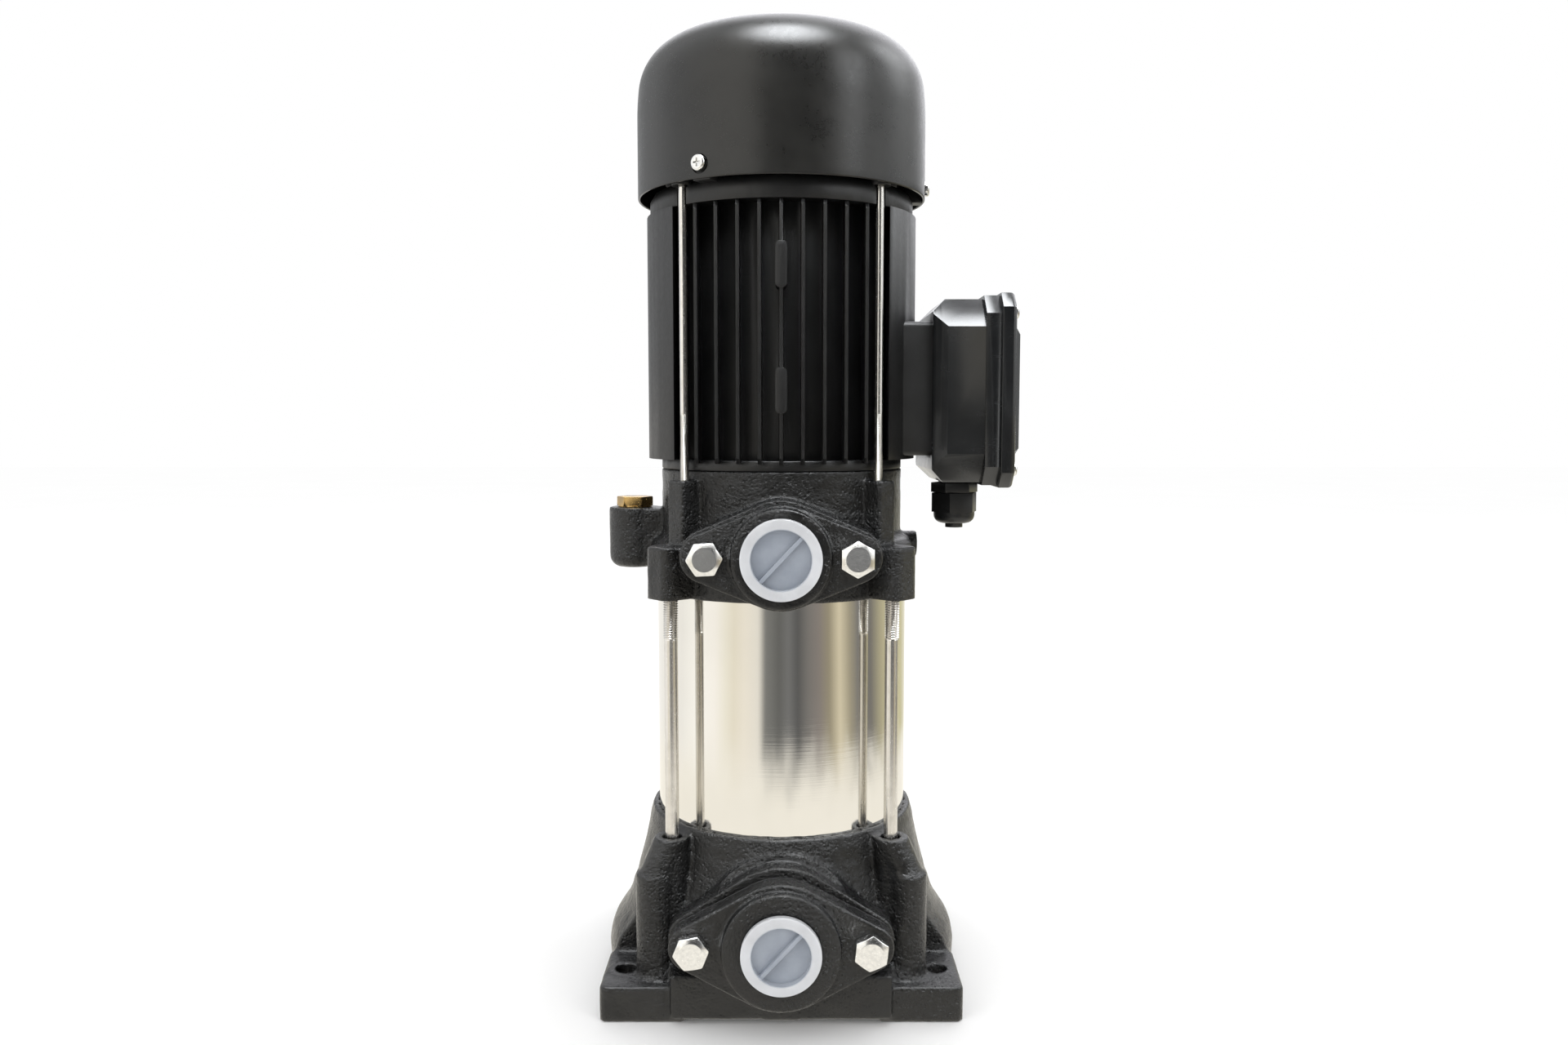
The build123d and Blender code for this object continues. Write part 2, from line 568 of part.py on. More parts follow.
def dome_solid(inset, z0):
    """Solid of the dome moved inwards by inset, from z0 up."""
    x, z, th = R_COVER, Z_DOME, 0.0
    edges = []
    arcs = list(ARCS)
    # the crown arc ends level on the axis
    xe, ze, te = x, z, 0.0
    for r, a in arcs:
        xe -= r * (math.cos(te) - math.cos(te + a))
        ze += r * (math.sin(te + a) - math.sin(te))
        te += a
    arcs.append((xe / math.cos(te), math.pi / 2 - te))
    pts = []
    for r, a in arcs:
        cx, cz = x - r * math.cos(th), z - r * math.sin(th)
        rr = r - inset
        p = [(cx + rr * math.cos(th + a * k / 2), cz + rr * math.sin(th + a * k / 2)) for k in (0, 1, 2)]
        if abs(p[2][0]) < 1e-6:
            p[2] = (0.0, p[2][1])
        pts.append(p)
        x, z, th = cx + r * math.cos(th + a), cz + r * math.sin(th + a), th + a
    pts[-1][2] = (0.0, pts[-1][2][1])
    for i in range(len(pts) - 1):
        pts[i + 1][0] = pts[i][2]
    edges = [Line((R_COVER - inset, z0), pts[0][0])]
    edges += [ThreePointArc(*p) for p in pts]
    edges += [Line(pts[-1][2], (0, z0)), Line((0, z0), (R_COVER - inset, z0))]
    return revolve(make_face([Plane.XZ * e for e in edges]), Axis.Z)


cover = dome_solid(0.0, Z_COVER0) - dome_solid(T_COVER, Z_COVER0 - 2)
# air intake slots, hidden on the flat crown
for rr, n, half in ((14.0, 4, 30.0), (22.0, 6, 20.0), (30.0, 8, 15.5)):
    slot = tube(rr + 2.0, rr - 2.0, 500.0, 530.0)
    wedge = extrude(
        make_face(Polyline((0, 0), (60 * math.cos(math.radians(half)), -60 * math.sin(math.radians(half))),
                           (75, 0), (60 * math.cos(math.radians(half)), 60 * math.sin(math.radians(half))), close=True)),
        40,
    )
    slot = slot & (Pos(0, 0, 495) * wedge)
    for s_ in around(n, slot):
        cover -= s_
for a in (-31, 89, 209):
    cover -= Rot(0, 0, a) * ycyl(2.7, -90, -70.0, 0, 438.0)
put("fan_cover", solid_of(cover))

# pan-head screws of the cover
sc = []
for a in (-31, 89, 209):
    s = ycyl(4.1, -R_COVER - 2.6, -R_COVER, 0, 438.0)
    s = fillet(s.edges().group_by(Axis.Y)[0], 1.3)
    s = s + ycyl(1.95, -R_COVER, -69.0, 0, 438.0)
    s -= Pos(0, -R_COVER - 2.6, 438.0) * Box(0.9, 2.6, 4.2)
    s -= Pos(0, -R_COVER - 2.6, 438.0) * Box(4.2, 2.6, 0.9)
    sc.append(solid_of(Rot(0, 0, a) * s))
put("fan_cover_screws", *sc)

# ------------------------------------------------------------------ terminal box
CH = 15.5                 # corner chamfers


def octagon(x0, x1, hy, z0, z1, ch):
    zc = (z0 + z1) / 2
    hz = (z1 - z0) / 2
    f = make_face(
        Plane.YZ * Polyline((-hy + ch, -hz), (hy - ch, -hz), (hy, -hz + ch), (hy, hz - ch), (hy - ch, hz),
                            (-hy + ch, hz), (-hy, hz - ch), (-hy, -hz + ch), close=True)
    )
    return Pos(x0, 0, zc) * extrude(f, x1 - x0)


tbox = octagon(BOX_X0, BOX_X1, BOX_HY, BOX_Z0, BOX_Z1, CH)
# the motor-side edges are bevelled back to the seat
bev = loft([
    Plane((BOX_X0, 0, (BOX_Z0 + BOX_Z1) / 2), x_dir=(0, 1, 0), z_dir=(1, 0, 0)) * Rectangle(2 * (BOX_HY - 7), 97.5 - 14),
    Plane((BOX_X0 + 9, 0, (BOX_Z0 + BOX_Z1) / 2), x_dir=(0, 1, 0), z_dir=(1, 0, 0)) * Rectangle(2 * BOX_HY + 4, 97.5 + 4),
])
keep = bev + box(BOX_X0 + 9, BOX_X1 + 1, -60, 60, 260, 400)
tbox = tbox & keep
rim = octagon(106.6, BOX_X1, BOX_HY + 2.2, BOX_Z0 - 1.2, BOX_Z1 + 1.2, 10.0)
tbox += rim
bev2 = loft([
    Plane((BOX_X0 + 3, 0, (BOX_Z0 + BOX_Z1) / 2), x_dir=(0, 1, 0), z_dir=(1, 0, 0)) * Rectangle(2 * (BOX_HY - 10), 97.5 - 20),
    Plane((BOX_X0 + 12, 0, (BOX_Z0 + BOX_Z1) / 2), x_dir=(0, 1, 0), z_dir=(1, 0, 0)) * Rectangle(2 * BOX_HY - 2, 97.5 - 2),
])
hollow = octagon(BOX_X0 + 3.0, BOX_X1 + 1, BOX_HY - 2.8, BOX_Z0 + 2.8, BOX_Z1 - 2.8, CH - 1)
hollow = hollow & (bev2 + box(BOX_X0 + 12, BOX_X1 + 2, -60, 60, 260, 400))
tbox -= hollow
# screw holes in the solid corners of the rim, and the cable entries
for sy in (-1, 1):
    for zz in (BOX_Z0 + 7.5, BOX_Z1 - 7.5):
        tbox -= xcyl(1.95, 107.4, BOX_X1 + 1, sy * 38.5, zz)
tbox -= cyl(10.0, 265, BOX_Z0 + 6, 97.5, 0)
tbox -= xcyl(9.0, 70, BOX_X0 + 6, 0, 330.0)
for sy in (-1, 1):
    for zz in (300.0, 355.0):
        tbox -= xcyl(2.2, 70, BOX_X0 + 6, sy * 28, zz)
put("terminal_box", solid_of(tbox))
put("box_mounting_screws", *[
    solid_of(xcyl(1.95, 70.0, BOX_X0 + 4, sy * 28, zz) + xcyl(3.6, BOX_X0 + 3.0, BOX_X0 + 5.4, sy * 28, zz))
    for sy in (-1, 1) for zz in (300.0, 355.0)
])

lid = octagon(BOX_X1, LID_X1, BOX_HY + 3.4, BOX_Z0 - 2.4, BOX_Z1 + 2.4, 8.0)
lid = fillet(lid.edges().group_by(Axis.X)[-1], 2.6)
zc = (BOX_Z0 + BOX_Z1) / 2
boss = loft([
    Plane((LID_X1 - 1, 0, zc), x_dir=(0, 1, 0), z_dir=(1, 0, 0)) * Rectangle(66.0, 80.0),
    Plane((128.2, 0, zc), x_dir=(0, 1, 0), z_dir=(1, 0, 0)) * Rectangle(54.0, 61.0),
])
lid += boss
hollow = loft([
    Plane((BOX_X1 - 1, 0, zc), x_dir=(0, 1, 0), z_dir=(1, 0, 0)) * Rectangle(64.0, 78.0),
    Plane((125.6, 0, zc), x_dir=(0, 1, 0), z_dir=(1, 0, 0)) * Rectangle(50.0, 57.0),
])
lid -= hollow
for sy in (-1, 1):
    for zz in (BOX_Z0 + 7.5, BOX_Z1 - 7.5):
        lid -= xcyl(2.2, 110, 130, sy * 38.5, zz)
put("terminal_box_lid", solid_of(lid))
put("lid_screws", *[
    solid_of((fillet(xcyl(3.7, LID_X1, LID_X1 + 2.4, sy * 38.5, zz).edges().group_by(Axis.X)[-1], 1.1)
              + xcyl(1.65, 107.8, LID_X1 + 0.5, sy * 38.5, zz))
             - Pos(LID_X1 + 2.4, sy * 38.5, zz) * Box(2.2, 0.8, 3.8)
             - Pos(LID_X1 + 2.4, sy * 38.5, zz) * Box(2.2, 3.8, 0.8))
    for sy in (-1, 1) for zz in (BOX_Z0 + 7.5, BOX_Z1 - 7.5)
])

blk = box(BOX_X0 + 3.0, BOX_X0 + 10, -22, 22, 316.0, 346.0)
blk = fillet(blk.edges().filter_by(Axis.X), 2.5) - xcyl(8.5, 80, 92, 0, 330.0)
studs = []
for yy in (-15.0, 15.0):
    for zz in (321.0, 331.0, 341.0):
        blk -= xcyl(1.9, 82, 92, yy, zz)
        st = xcyl(1.9, BOX_X0 + 4, 102.0, yy, zz)
        hx = Pos(BOX_X0 + 10, yy, zz) * Rot(0, 90, 0) * extrude(RegularPolygon(3.9, 6), 3.0)
        studs.append(solid_of(st + hx))
put("terminal_block", solid_of(blk))
put("terminal_studs", *studs)

# ------------------------------------------------------------------ cable gland, closed
gland = hexz(23.0, 270.6, 276.1, 97.5, 0, 0)
gland = gland + cyl(8.9, 275.5, BOX_Z0, 97.5, 0)
gland = gland + cyl(9.8, 262.0, 272.0, 97.5, 0) + cyl(9.8, BOX_Z0, BOX_Z0 + 9.0, 97.5, 0) - cyl(6.8, 255, 290, 97.5, 0)
put("gland_body", solid_of(gland))
gn = hexz(23.0, 259.6, 270.3, 97.5, 0, 12)
gn = gn + Pos(97.5, 0, 0) * rev([(0, 253.2), (7.0, 253.2), (8.6, 253.6), (9.8, 254.3), (10.7, 255.3), (11.3, 256.6), (11.5, 258.0), (11.5, 259.8), (0, 259.8)])
gn = gn - cyl(10.0, 261.5, 280, 97.5, 0) - cyl(6.0, 250, 280, 97.5, 0)
put("gland_nut", solid_of(gn))
gp = cyl(5.9, 253.3, 268.0, 97.5, 0) + cyl(4.9, 250.8, 254.0, 97.5, 0)
put("gland_blanking_plug", solid_of(gp))

# ------------------------------------------------------------------ priming plug (brass)
pp = hexz(17.5, 263.0, 268.2, -82.8, 0, 0)
pp = pp & cone(13.0, 9.8, 263.0, 268.2, -82.8, 0)
pp = pp + cyl(9.4, 262.5, 263.2, -82.8, 0)
pp = pp + cyl(8.0, 252.0, 263.0, -82.8, 0)
put("priming_plug", solid_of(pp))

print("nodes written:", len([f for f in os.listdir("parts") if f.endswith(".step")]))
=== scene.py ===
import bpy, bmesh, json, math, random
from mathutils import Vector, Matrix


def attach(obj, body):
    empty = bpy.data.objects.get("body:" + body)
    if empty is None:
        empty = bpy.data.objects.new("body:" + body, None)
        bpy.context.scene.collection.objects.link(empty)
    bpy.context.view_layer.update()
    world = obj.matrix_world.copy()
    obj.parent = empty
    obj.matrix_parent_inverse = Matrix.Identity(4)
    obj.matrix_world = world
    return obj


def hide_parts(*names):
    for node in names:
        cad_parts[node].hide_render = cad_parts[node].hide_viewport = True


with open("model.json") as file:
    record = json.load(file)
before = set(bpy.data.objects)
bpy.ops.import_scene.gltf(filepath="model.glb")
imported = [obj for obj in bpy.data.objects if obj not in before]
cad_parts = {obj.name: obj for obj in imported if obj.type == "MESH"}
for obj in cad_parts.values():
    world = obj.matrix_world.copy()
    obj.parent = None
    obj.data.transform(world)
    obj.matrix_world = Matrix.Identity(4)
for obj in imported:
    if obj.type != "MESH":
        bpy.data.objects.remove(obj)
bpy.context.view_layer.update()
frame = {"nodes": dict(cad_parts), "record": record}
N = frame["nodes"]
random.seed(7)

MM = 0.001
C = bpy.context
COL = C.scene.collection


# ============================================================ node helpers
class M:
    """Small builder for a procedural material in object space (metres)."""

    def __init__(self, name, color=(0.1, 0.1, 0.1), rough=0.5, metallic=0.0, **sockets):
        self.m = bpy.data.materials.new(name)
        self.m.use_nodes = True
        self.nt = self.m.node_tree
        self.nt.nodes.clear()
        self.out = self.new("ShaderNodeOutputMaterial")
        self.b = self.new("ShaderNodeBsdfPrincipled")
        self.link(self.b.outputs[0], self.out.inputs[0])
        self.b.inputs["Base Color"].default_value = (*color, 1)
        self.b.inputs["Roughness"].default_value = rough
        self.b.inputs["Metallic"].default_value = metallic
        for k, v in sockets.items():
            self.b.inputs[k.replace("_", " ")].default_value = v
        self.tc = self.new("ShaderNodeTexCoord")
        self._n = None

    def new(self, kind):
        return self.nt.nodes.new(kind)

    def link(self, a, b):
        self.nt.links.new(a, b)

    def coord(self, scale=(1, 1, 1), rot=(0, 0, 0)):
        mp = self.new("ShaderNodeMapping")
        mp.inputs["Scale"].default_value = scale
        mp.inputs["Rotation"].default_value = rot
        self.link(self.tc.outputs["Object"], mp.inputs["Vector"])
        return mp.outputs[0]

    def noise(self, scale, detail=4, rough=0.55, vec=None, dist=0.0):
        n = self.new("ShaderNodeTexNoise")
        n.inputs["Scale"].default_value = scale
        n.inputs["Detail"].default_value = detail
        n.inputs["Roughness"].default_value = rough
        n.inputs["Distortion"].default_value = dist
        self.link(vec or self.tc.outputs["Object"], n.inputs["Vector"])
        return n.outputs["Fac"]

    def voronoi(self, scale, feature="F1", vec=None, rand=1.0):
        n = self.new("ShaderNodeTexVoronoi")
        n.feature = feature
        n.inputs["Scale"].default_value = scale
        n.inputs["Randomness"].default_value = rand
        self.link(vec or self.tc.outputs["Object"], n.inputs["Vector"])
        return n.outputs["Distance"]

    def ramp(self, fac, stops):
        """stops: [(position, value or rgb)]"""
        n = self.new("ShaderNodeValToRGB")
        e = n.color_ramp.elements
        while len(e) > 1:
            e.remove(e[-1])
        for i, (p, c) in enumerate(stops):
            el = e[0] if i == 0 else e.new(p)
            el.position = p
            c = (c, c, c) if isinstance(c, (int, float)) else c
            el.color = (*c, 1)
        self.link(fac, n.inputs["Fac"])
        return n.outputs["Color"]

    def math(self, op, a, b=None, clamp=False):
        n = self.new("ShaderNodeMath")
        n.operation = op
        n.use_clamp = clamp
        for i, v in enumerate((a, b)):
            if v is None:
                continue
            if isinstance(v, (int, float)):
                n.inputs[i].default_value = v
            else:
                self.link(v, n.inputs[i])
        return n.outputs[0]

    def mix(self, fac, a, b, blend="MIX"):
        n = self.new("ShaderNodeMix")
        n.data_type = "RGBA"
        n.blend_type = blend
        for key, v in (("Factor", fac), ("A", a), ("B", b)):
            i = [s for s in n.inputs if s.name == key and (s.type == "VALUE" if key == "Factor" else s.type == "RGBA")][0]
            if isinstance(v, (int, float)):
                i.default_value = v if key == "Factor" else (v, v, v, 1)
            elif isinstance(v, tuple):
                i.default_value = (*v, 1)
            else:
                self.link(v, i)
        return [s for s in n.outputs if s.type == "RGBA"][0]

    def bump(self, height, dist, strength=1.0):
        n = self.new("ShaderNodeBump")
        n.inputs["Strength"].default_value = strength
        n.inputs["Distance"].default_value = dist
        self.link(height, n.inputs["Height"])
        if self._n is not None:
            self.link(self._n, n.inputs["Normal"])
        self._n = n.outputs[0]
        return self

    def edge(self, radius):
        """1 on sharp outside edges, 0 on flats: for worn, brighter edges."""
        g = self.new("ShaderNodeNewGeometry")
        return self.ramp(g.outputs["Pointiness"], [(0.5, 0.0), (0.5 + radius, 1.0)])

    def set(self, socket, value):
        self.link(value, self.b.inputs[socket])
        return self

    def done(self):
        if self._n is not None:
            self.link(self._n, self.b.inputs["Normal"])
        return self.m


# ============================================================ materials
def cast_black(name, grain=1.0, gloss=0.0):
    """Glossy black enamel brushed and dipped over rough sand-cast iron."""
    m = M(name, rough=0.3, Specular_IOR_Level=0.42, Coat_Weight=0.12, Coat_Roughness=0.1)
    big = m.noise(38, 3, 0.6)
    mid = m.noise(240, 5, 0.62)
    fine = m.noise(900, 6, 0.7)
    patch = m.noise(16, 2, 0.5)
    m.set("Base Color", m.mix(m.ramp(big, [(0.38, 0.0), (0.66, 1.0)]),
                              m.mix(m.ramp(fine, [(0.4, 0.0), (0.7, 1.0)]), (0.0026, 0.0027, 0.0028), (0.0080, 0.0082, 0.0084)),
                              (0.0052, 0.0051, 0.0049)))
    m.set("Roughness", m.ramp(m.math("ADD", m.math("MULTIPLY", mid, 0.5), m.math("MULTIPLY", patch, 0.5)),
                              [(0.34, 0.16 - gloss), (0.52, 0.24 - gloss), (0.68, 0.36 - gloss)]))
    # where the sand texture shows strongly, and where the enamel has flowed it out
    mask = m.ramp(m.noise(22, 3, 0.55), [(0.36, 0.22), (0.6, 1.0)])
    m.bump(m.noise(85, 3, 0.5), 0.0011 * grain, 0.8)
    g = m.math("MULTIPLY", m.noise(520, 5, 0.65), mask)
    m.bump(g, 0.0012 * grain, 1.0)
    pits = m.math("MULTIPLY", m.ramp(m.voronoi(430), [(0.05, 0.0), (0.42, 1.0)]), mask)
    m.bump(pits, 0.0006 * grain, 1.0)
    m.bump(m.math("MULTIPLY", fine, mask), 0.00045 * grain, 1.0)
    return m.done()


def satin_paint(name, color, rough, peel=1.0, warm=0.0):
    m = M(name, color, rough, Specular_IOR_Level=0.5)
    n = m.noise(60, 3)
    f = m.noise(1300, 3, 0.6)
    c2 = tuple(min(1, c * 1.35 + 0.001 * (1 + warm * k)) for c, k in zip(color, (1.0, 0.6, 0.0)))
    m.set("Base Color", m.mix(m.ramp(n, [(0.35, 0.0), (0.7, 1.0)]), color, c2))
    dust = m.ramp(m.voronoi(160), [(0.0, 1.0), (0.030, 0.0)])
    m.set("Roughness", m.ramp(m.math("ADD", m.math("MULTIPLY", n, 0.5), m.math("MULTIPLY", m.noise(420, 4), 0.5)),
                              [(0.35, rough - 0.045), (0.65, rough + 0.05)]))
    m.bump(f, 0.00004 * peel, 0.7)
    m.bump(m.noise(210, 2, 0.5), 0.00009 * peel, 0.6)
    m.bump(dust, 0.00003, 0.3)
    return m.done()


def polished_tube(name):
    """Mirror-polished stainless with fine circumferential lines."""
    m = M(name, (0.80, 0.785, 0.745), 0.05, 1.0)
    ring = m.noise(1.0, 4, 0.7, m.coord((7, 7, 2600)))
    ring2 = m.noise(1.0, 3, 0.6, m.coord((22, 22, 700)))
    stain = m.noise(9, 4, 0.6)
    m.set("Base Color", m.mix(m.ramp(stain, [(0.4, 0.0), (0.75, 1.0)]), (0.83, 0.815, 0.775), (0.76, 0.745, 0.70)))
    m.set("Roughness", m.ramp(m.math("ADD", m.math("MULTIPLY", ring, 0.55), m.math("MULTIPLY", stain, 0.45)),
                              [(0.35, 0.045), (0.7, 0.105)]))
    m.bump(m.noise(7, 2, 0.4), 0.00055, 0.35)
    m.bump(ring2, 0.00002, 0.5)
    m.bump(ring, 0.000012, 0.6)
    return m.done()


def rod_steel(name):
    m = M(name, (0.70, 0.68, 0.64), 0.2, 1.0)
    line = m.noise(1.0, 3, 0.6, m.coord((1500, 1500, 18)))
    spot = m.noise(120, 5, 0.65)
    m.set("Base Color", m.mix(m.ramp(spot, [(0.45, 0.0), (0.78, 1.0)]), (0.74, 0.72, 0.69), (0.64, 0.62, 0.58)))
    m.set("Roughness", m.ramp(m.math("ADD", m.math("MULTIPLY", line, 0.6), m.math("MULTIPLY", spot, 0.4)), [(0.35, 0.14), (0.7, 0.34)]))
    m.bump(line, 0.00002, 0.6)
    m.bump(m.noise(900, 3), 0.00002, 0.5)
    return m.done()


def zinc(name, color=(0.86, 0.86, 0.85), rough=0.2, dark=0.0):
    m = M(name, color, rough, 1.0)
    n = m.noise(520, 5, 0.7)
    s = m.noise(1.0, 3, 0.7, m.coord((260, 900, 2600), (0.4, 0.2, 0.7)))
    m.set("Base Color", m.mix(m.ramp(n, [(0.38, 0.0), (0.72, 1.0)]), color, tuple(c * (0.84 - dark) for c in color)))
    m.set("Roughness", m.ramp(m.math("ADD", m.math("MULTIPLY", n, 0.5), m.math("MULTIPLY", s, 0.5)), [(0.3, rough - 0.08), (0.7, rough + 0.1)]))
    m.bump(m.noise(260, 3, 0.5), 0.00007, 0.5)
    m.bump(s, 0.00002, 0.5)
    return m.done()


def poly_white(name, color=(0.57, 0.58, 0.60)):
    """Natural polyethylene: soft, a little translucent, bluish in the thick parts; the recessed disc of each plug
    carries painted shade.
    """
    m = M(name, color, 0.42, Subsurface_Weight=0.35, Subsurface_Scale=0.004, Specular_IOR_Level=0.42)
    m.b.inputs["Subsurface Radius"].default_value = (1.0, 0.95, 0.9)
    n = m.noise(75, 3, 0.5)
    # the recessed disc of each plug, painted darker and bluer by position: painted shade for the recess and the dark
    # bore behind the thin plastic, against its solid rim
    sp = m.new("ShaderNodeSeparateXYZ")
    m.link(m.tc.outputs["Object"], sp.inputs[0])
    ring = []
    for z in (0.0476, 0.243):
        dz = m.math("SUBTRACT", sp.outputs[2], z)
        ring.append(m.math("SQRT", m.math("ADD", m.math("MULTIPLY", sp.outputs[0], sp.outputs[0]), m.math("MULTIPLY", dz, dz))))
    rim = m.ramp(m.math("MULTIPLY", m.math("MINIMUM", ring[0], ring[1]), 20.0), [(0.0147 * 20, 0.0), (0.0156 * 20, 1.0)])
    body = m.mix(m.ramp(n, [(0.36, 0.0), (0.66, 1.0)]), color, tuple(c * 0.88 for c in color))
    # disc colour: painted shade, darker and bluer than the rim
    disc = m.mix(m.ramp(n, [(0.36, 0.0), (0.66, 1.0)]), tuple(c * k for c, k in zip(color, (0.56, 0.60, 0.66))),
                 tuple(c * k for c, k in zip(color, (0.46, 0.50, 0.56))))
    m.set("Base Color", m.mix(rim, disc, body))
    m.set("Roughness", m.ramp(m.noise(340, 4), [(0.35, 0.34), (0.7, 0.52)]))
    # moulding lines and fine scuffs
    m.bump(m.noise(700, 4, 0.6), 0.00006, 0.7)
    m.bump(m.noise(1.0, 3, 0.6, m.coord((90, 40, 900), (0.0, 0.75, 0.0))), 0.00004, 0.6)
    return m.done()


def moulded(name, color, rough, grain=0.00005, coat=0.0, scale=900, sss=0.0):
    m = M(name, color, rough, Coat_Weight=coat, Coat_Roughness=0.12, Specular_IOR_Level=0.5)
    n = m.noise(46, 3)
    hi = tuple(min(1.0, c * 1.35 + 0.0025) for c in color)
    m.set("Base Color", m.mix(m.ramp(n, [(0.36, 0.0), (0.7, 1.0)]), color, hi))
    scuff = m.noise(1.0, 4, 0.6, m.coord((60, 150, 210), (0.3, 0.5, 0.2)))
    m.set("Roughness", m.ramp(m.math("ADD", m.math("MULTIPLY", n, 0.45), m.math("MULTIPLY", scuff, 0.55)),
                              [(0.34, rough - 0.04), (0.68, rough + 0.06)]))
    m.bump(m.noise(scale, 3, 0.6), grain, 0.8)
    m.bump(m.noise(26, 2), 0.00012, 0.2)
    return m.done()


def metal(name, color, rough, stretch=(300, 300, 300), grain=0.00003, tarnish=0.7):
    m = M(name, color, rough, 1.0)
    n = m.noise(1.0, 4, 0.65, m.coord(stretch))
    t = m.noise(70, 4, 0.6)
    m.set("Base Color", m.mix(m.ramp(t, [(0.4, 0.0), (0.74, 1.0)]), color, tuple(c * tarnish for c in color)))
    m.set("Roughness", m.ramp(n, [(0.3, max(0.05, rough - 0.08)), (0.7, rough + 0.14)]))
    m.bump(n, grain, 0.8)
    return m.done()


def laminated(name):
    m = M(name, (0.3, 0.3, 0.31), 0.42, 1.0)
    w = m.new("ShaderNodeTexWave")
    w.wave_type = "BANDS"
    w.bands_direction = "Z"
    w.inputs["Scale"].default_value = 320
    w.inputs["Distortion"].default_value = 0.15
    m.link(m.tc.outputs["Object"], w.inputs["Vector"])
    m.set("Base Color", m.mix(w.outputs["Fac"], (0.20, 0.20, 0.21), (0.42, 0.42, 0.43)))
    m.set("Roughness", m.ramp(m.noise(200, 4), [(0.3, 0.35), (0.7, 0.6)]))
    m.bump(w.outputs["Fac"], 0.00012, 0.8)
    return m.done()


def winding(name):
    m = M(name, (0.45, 0.17, 0.06), 0.32, 0.75, Coat_Weight=0.5, Coat_Roughness=0.2)
    w = m.noise(1.0, 3, 0.6, m.coord((900, 900, 120), (0.5, 0.3, 0.0)))
    m.set("Base Color", m.mix(m.ramp(w, [(0.35, 0.0), (0.68, 1.0)]), (0.52, 0.20, 0.07), (0.22, 0.075, 0.025)))
    m.set("Roughness", m.ramp(m.noise(160, 3), [(0.3, 0.25), (0.7, 0.45)]))
    m.bump(w, 0.0006, 0.9)
    return m.done()


MAT = {
    "cast_iron_black": cast_black("cast_iron_black"),
    "motor_black": satin_paint("motor_black", (0.0052, 0.0053, 0.0055), 0.42, 1.6),
    "cover_black": satin_paint("cover_black", (0.0085, 0.0084, 0.0078), 0.30, 0.45, 0.6),
    "mirror_stainless": polished_tube("mirror_stainless"),
    "bright_steel": rod_steel("bright_steel"),
    "zinc_steel": zinc("zinc_steel"),
    "white_plastic": poly_white("white_plastic"),
    "box_plastic": moulded("box_plastic", (0.0052, 0.0058, 0.0064), 0.24, 0.000012, coat=0.3),
    "gland_nylon": moulded("gland_nylon", (0.0055, 0.0058, 0.0062), 0.36, 0.00003),
    "brass": metal("brass", (0.60, 0.40, 0.155), 0.19, (160, 160, 900), 0.00003, 0.62),
    "black_rubber": moulded("black_rubber", (0.014, 0.014, 0.014), 0.72, 0.00012, scale=600),
    "stage_polymer": moulded("stage_polymer", (0.05, 0.05, 0.055), 0.55, 0.00008),
    "impeller_polymer": moulded("impeller_polymer", (0.42, 0.36, 0.25), 0.5, 0.00008),
    "bearing_steel": metal("bearing_steel", (0.58, 0.58, 0.58), 0.16, (200, 200, 1200), 0.00001, 0.85),
    "seal_ceramic": moulded("seal_ceramic", (0.72, 0.70, 0.64), 0.18, 0.00002),
    "seal_carbon": moulded("seal_carbon", (0.02, 0.02, 0.021), 0.35, 0.00004),
    "core_steel": laminated("core_steel"),
    "copper_winding": winding("copper_winding"),
    "fan_plastic": moulded("fan_plastic", (0.016, 0.016, 0.017), 0.5, 0.00008),
    "phenolic": moulded("phenolic", (0.035, 0.02, 0.012), 0.42, 0.00007),
}
SLOT = {s["node"]: s["material_slot"] for s in frame["record"]["subparts"]}


def give(obj, mat):
    """Assign one material to every slot of an object, keeping its slots."""
    if not obj.data.materials:
        obj.data.materials.append(mat)
    for i in range(len(obj.data.materials)):
        obj.data.materials[i] = mat


for n, o in N.items():
    give(o, MAT[SLOT[n]])


# ============================================================ modifiers on the CAD nodes
def smooth_all(o, on=True):
    o.data.polygons.foreach_set("use_smooth", [on] * len(o.data.polygons))


def bevel(o, w, seg=2, angle=32):
    smooth_all(o)
    weld = o.modifiers.new("weld", "WELD")
    weld.merge_threshold = 1e-6
    b = o.modifiers.new("bevel", "BEVEL")
    b.width = w * MM
    b.segments = seg
    b.limit_method = "ANGLE"
    b.angle_limit = math.radians(angle)
    b.harden_normals = True
    b.use_clamp_overlap = True
    return b


def casting(o, voxel, smooth_n, lump, lump_size):
    """Sand-cast skin: softened corners and fillets, and a slightly uneven surface."""
    weld = o.modifiers.new("weld", "WELD")
    weld.merge_threshold = 1e-6
    r = o.modifiers.new("remesh", "REMESH")
    r.mode = "VOXEL"
    r.voxel_size = voxel * MM
    r.use_smooth_shade = True
    s = o.modifiers.new("soft", "SMOOTH")
    s.factor = 0.5
    s.iterations = smooth_n
    t = bpy.data.textures.new(o.name + "_lumps", "CLOUDS")
    t.noise_scale = lump_size * MM
    t.noise_depth = 2
    d = o.modifiers.new("lumps", "DISPLACE")
    d.texture = t
    d.texture_coords = "LOCAL"
    d.strength = lump * MM
    d.mid_level = 0.9


casting(N["pump_base"], 1.15, 3, 0.35, 7)
casting(N["pump_head"], 0.95, 2, 0.3, 6)
casting(N["inlet_flange"], 0.7, 2, 0.22, 6)
casting(N["outlet_flange"], 0.7, 2, 0.22, 6)

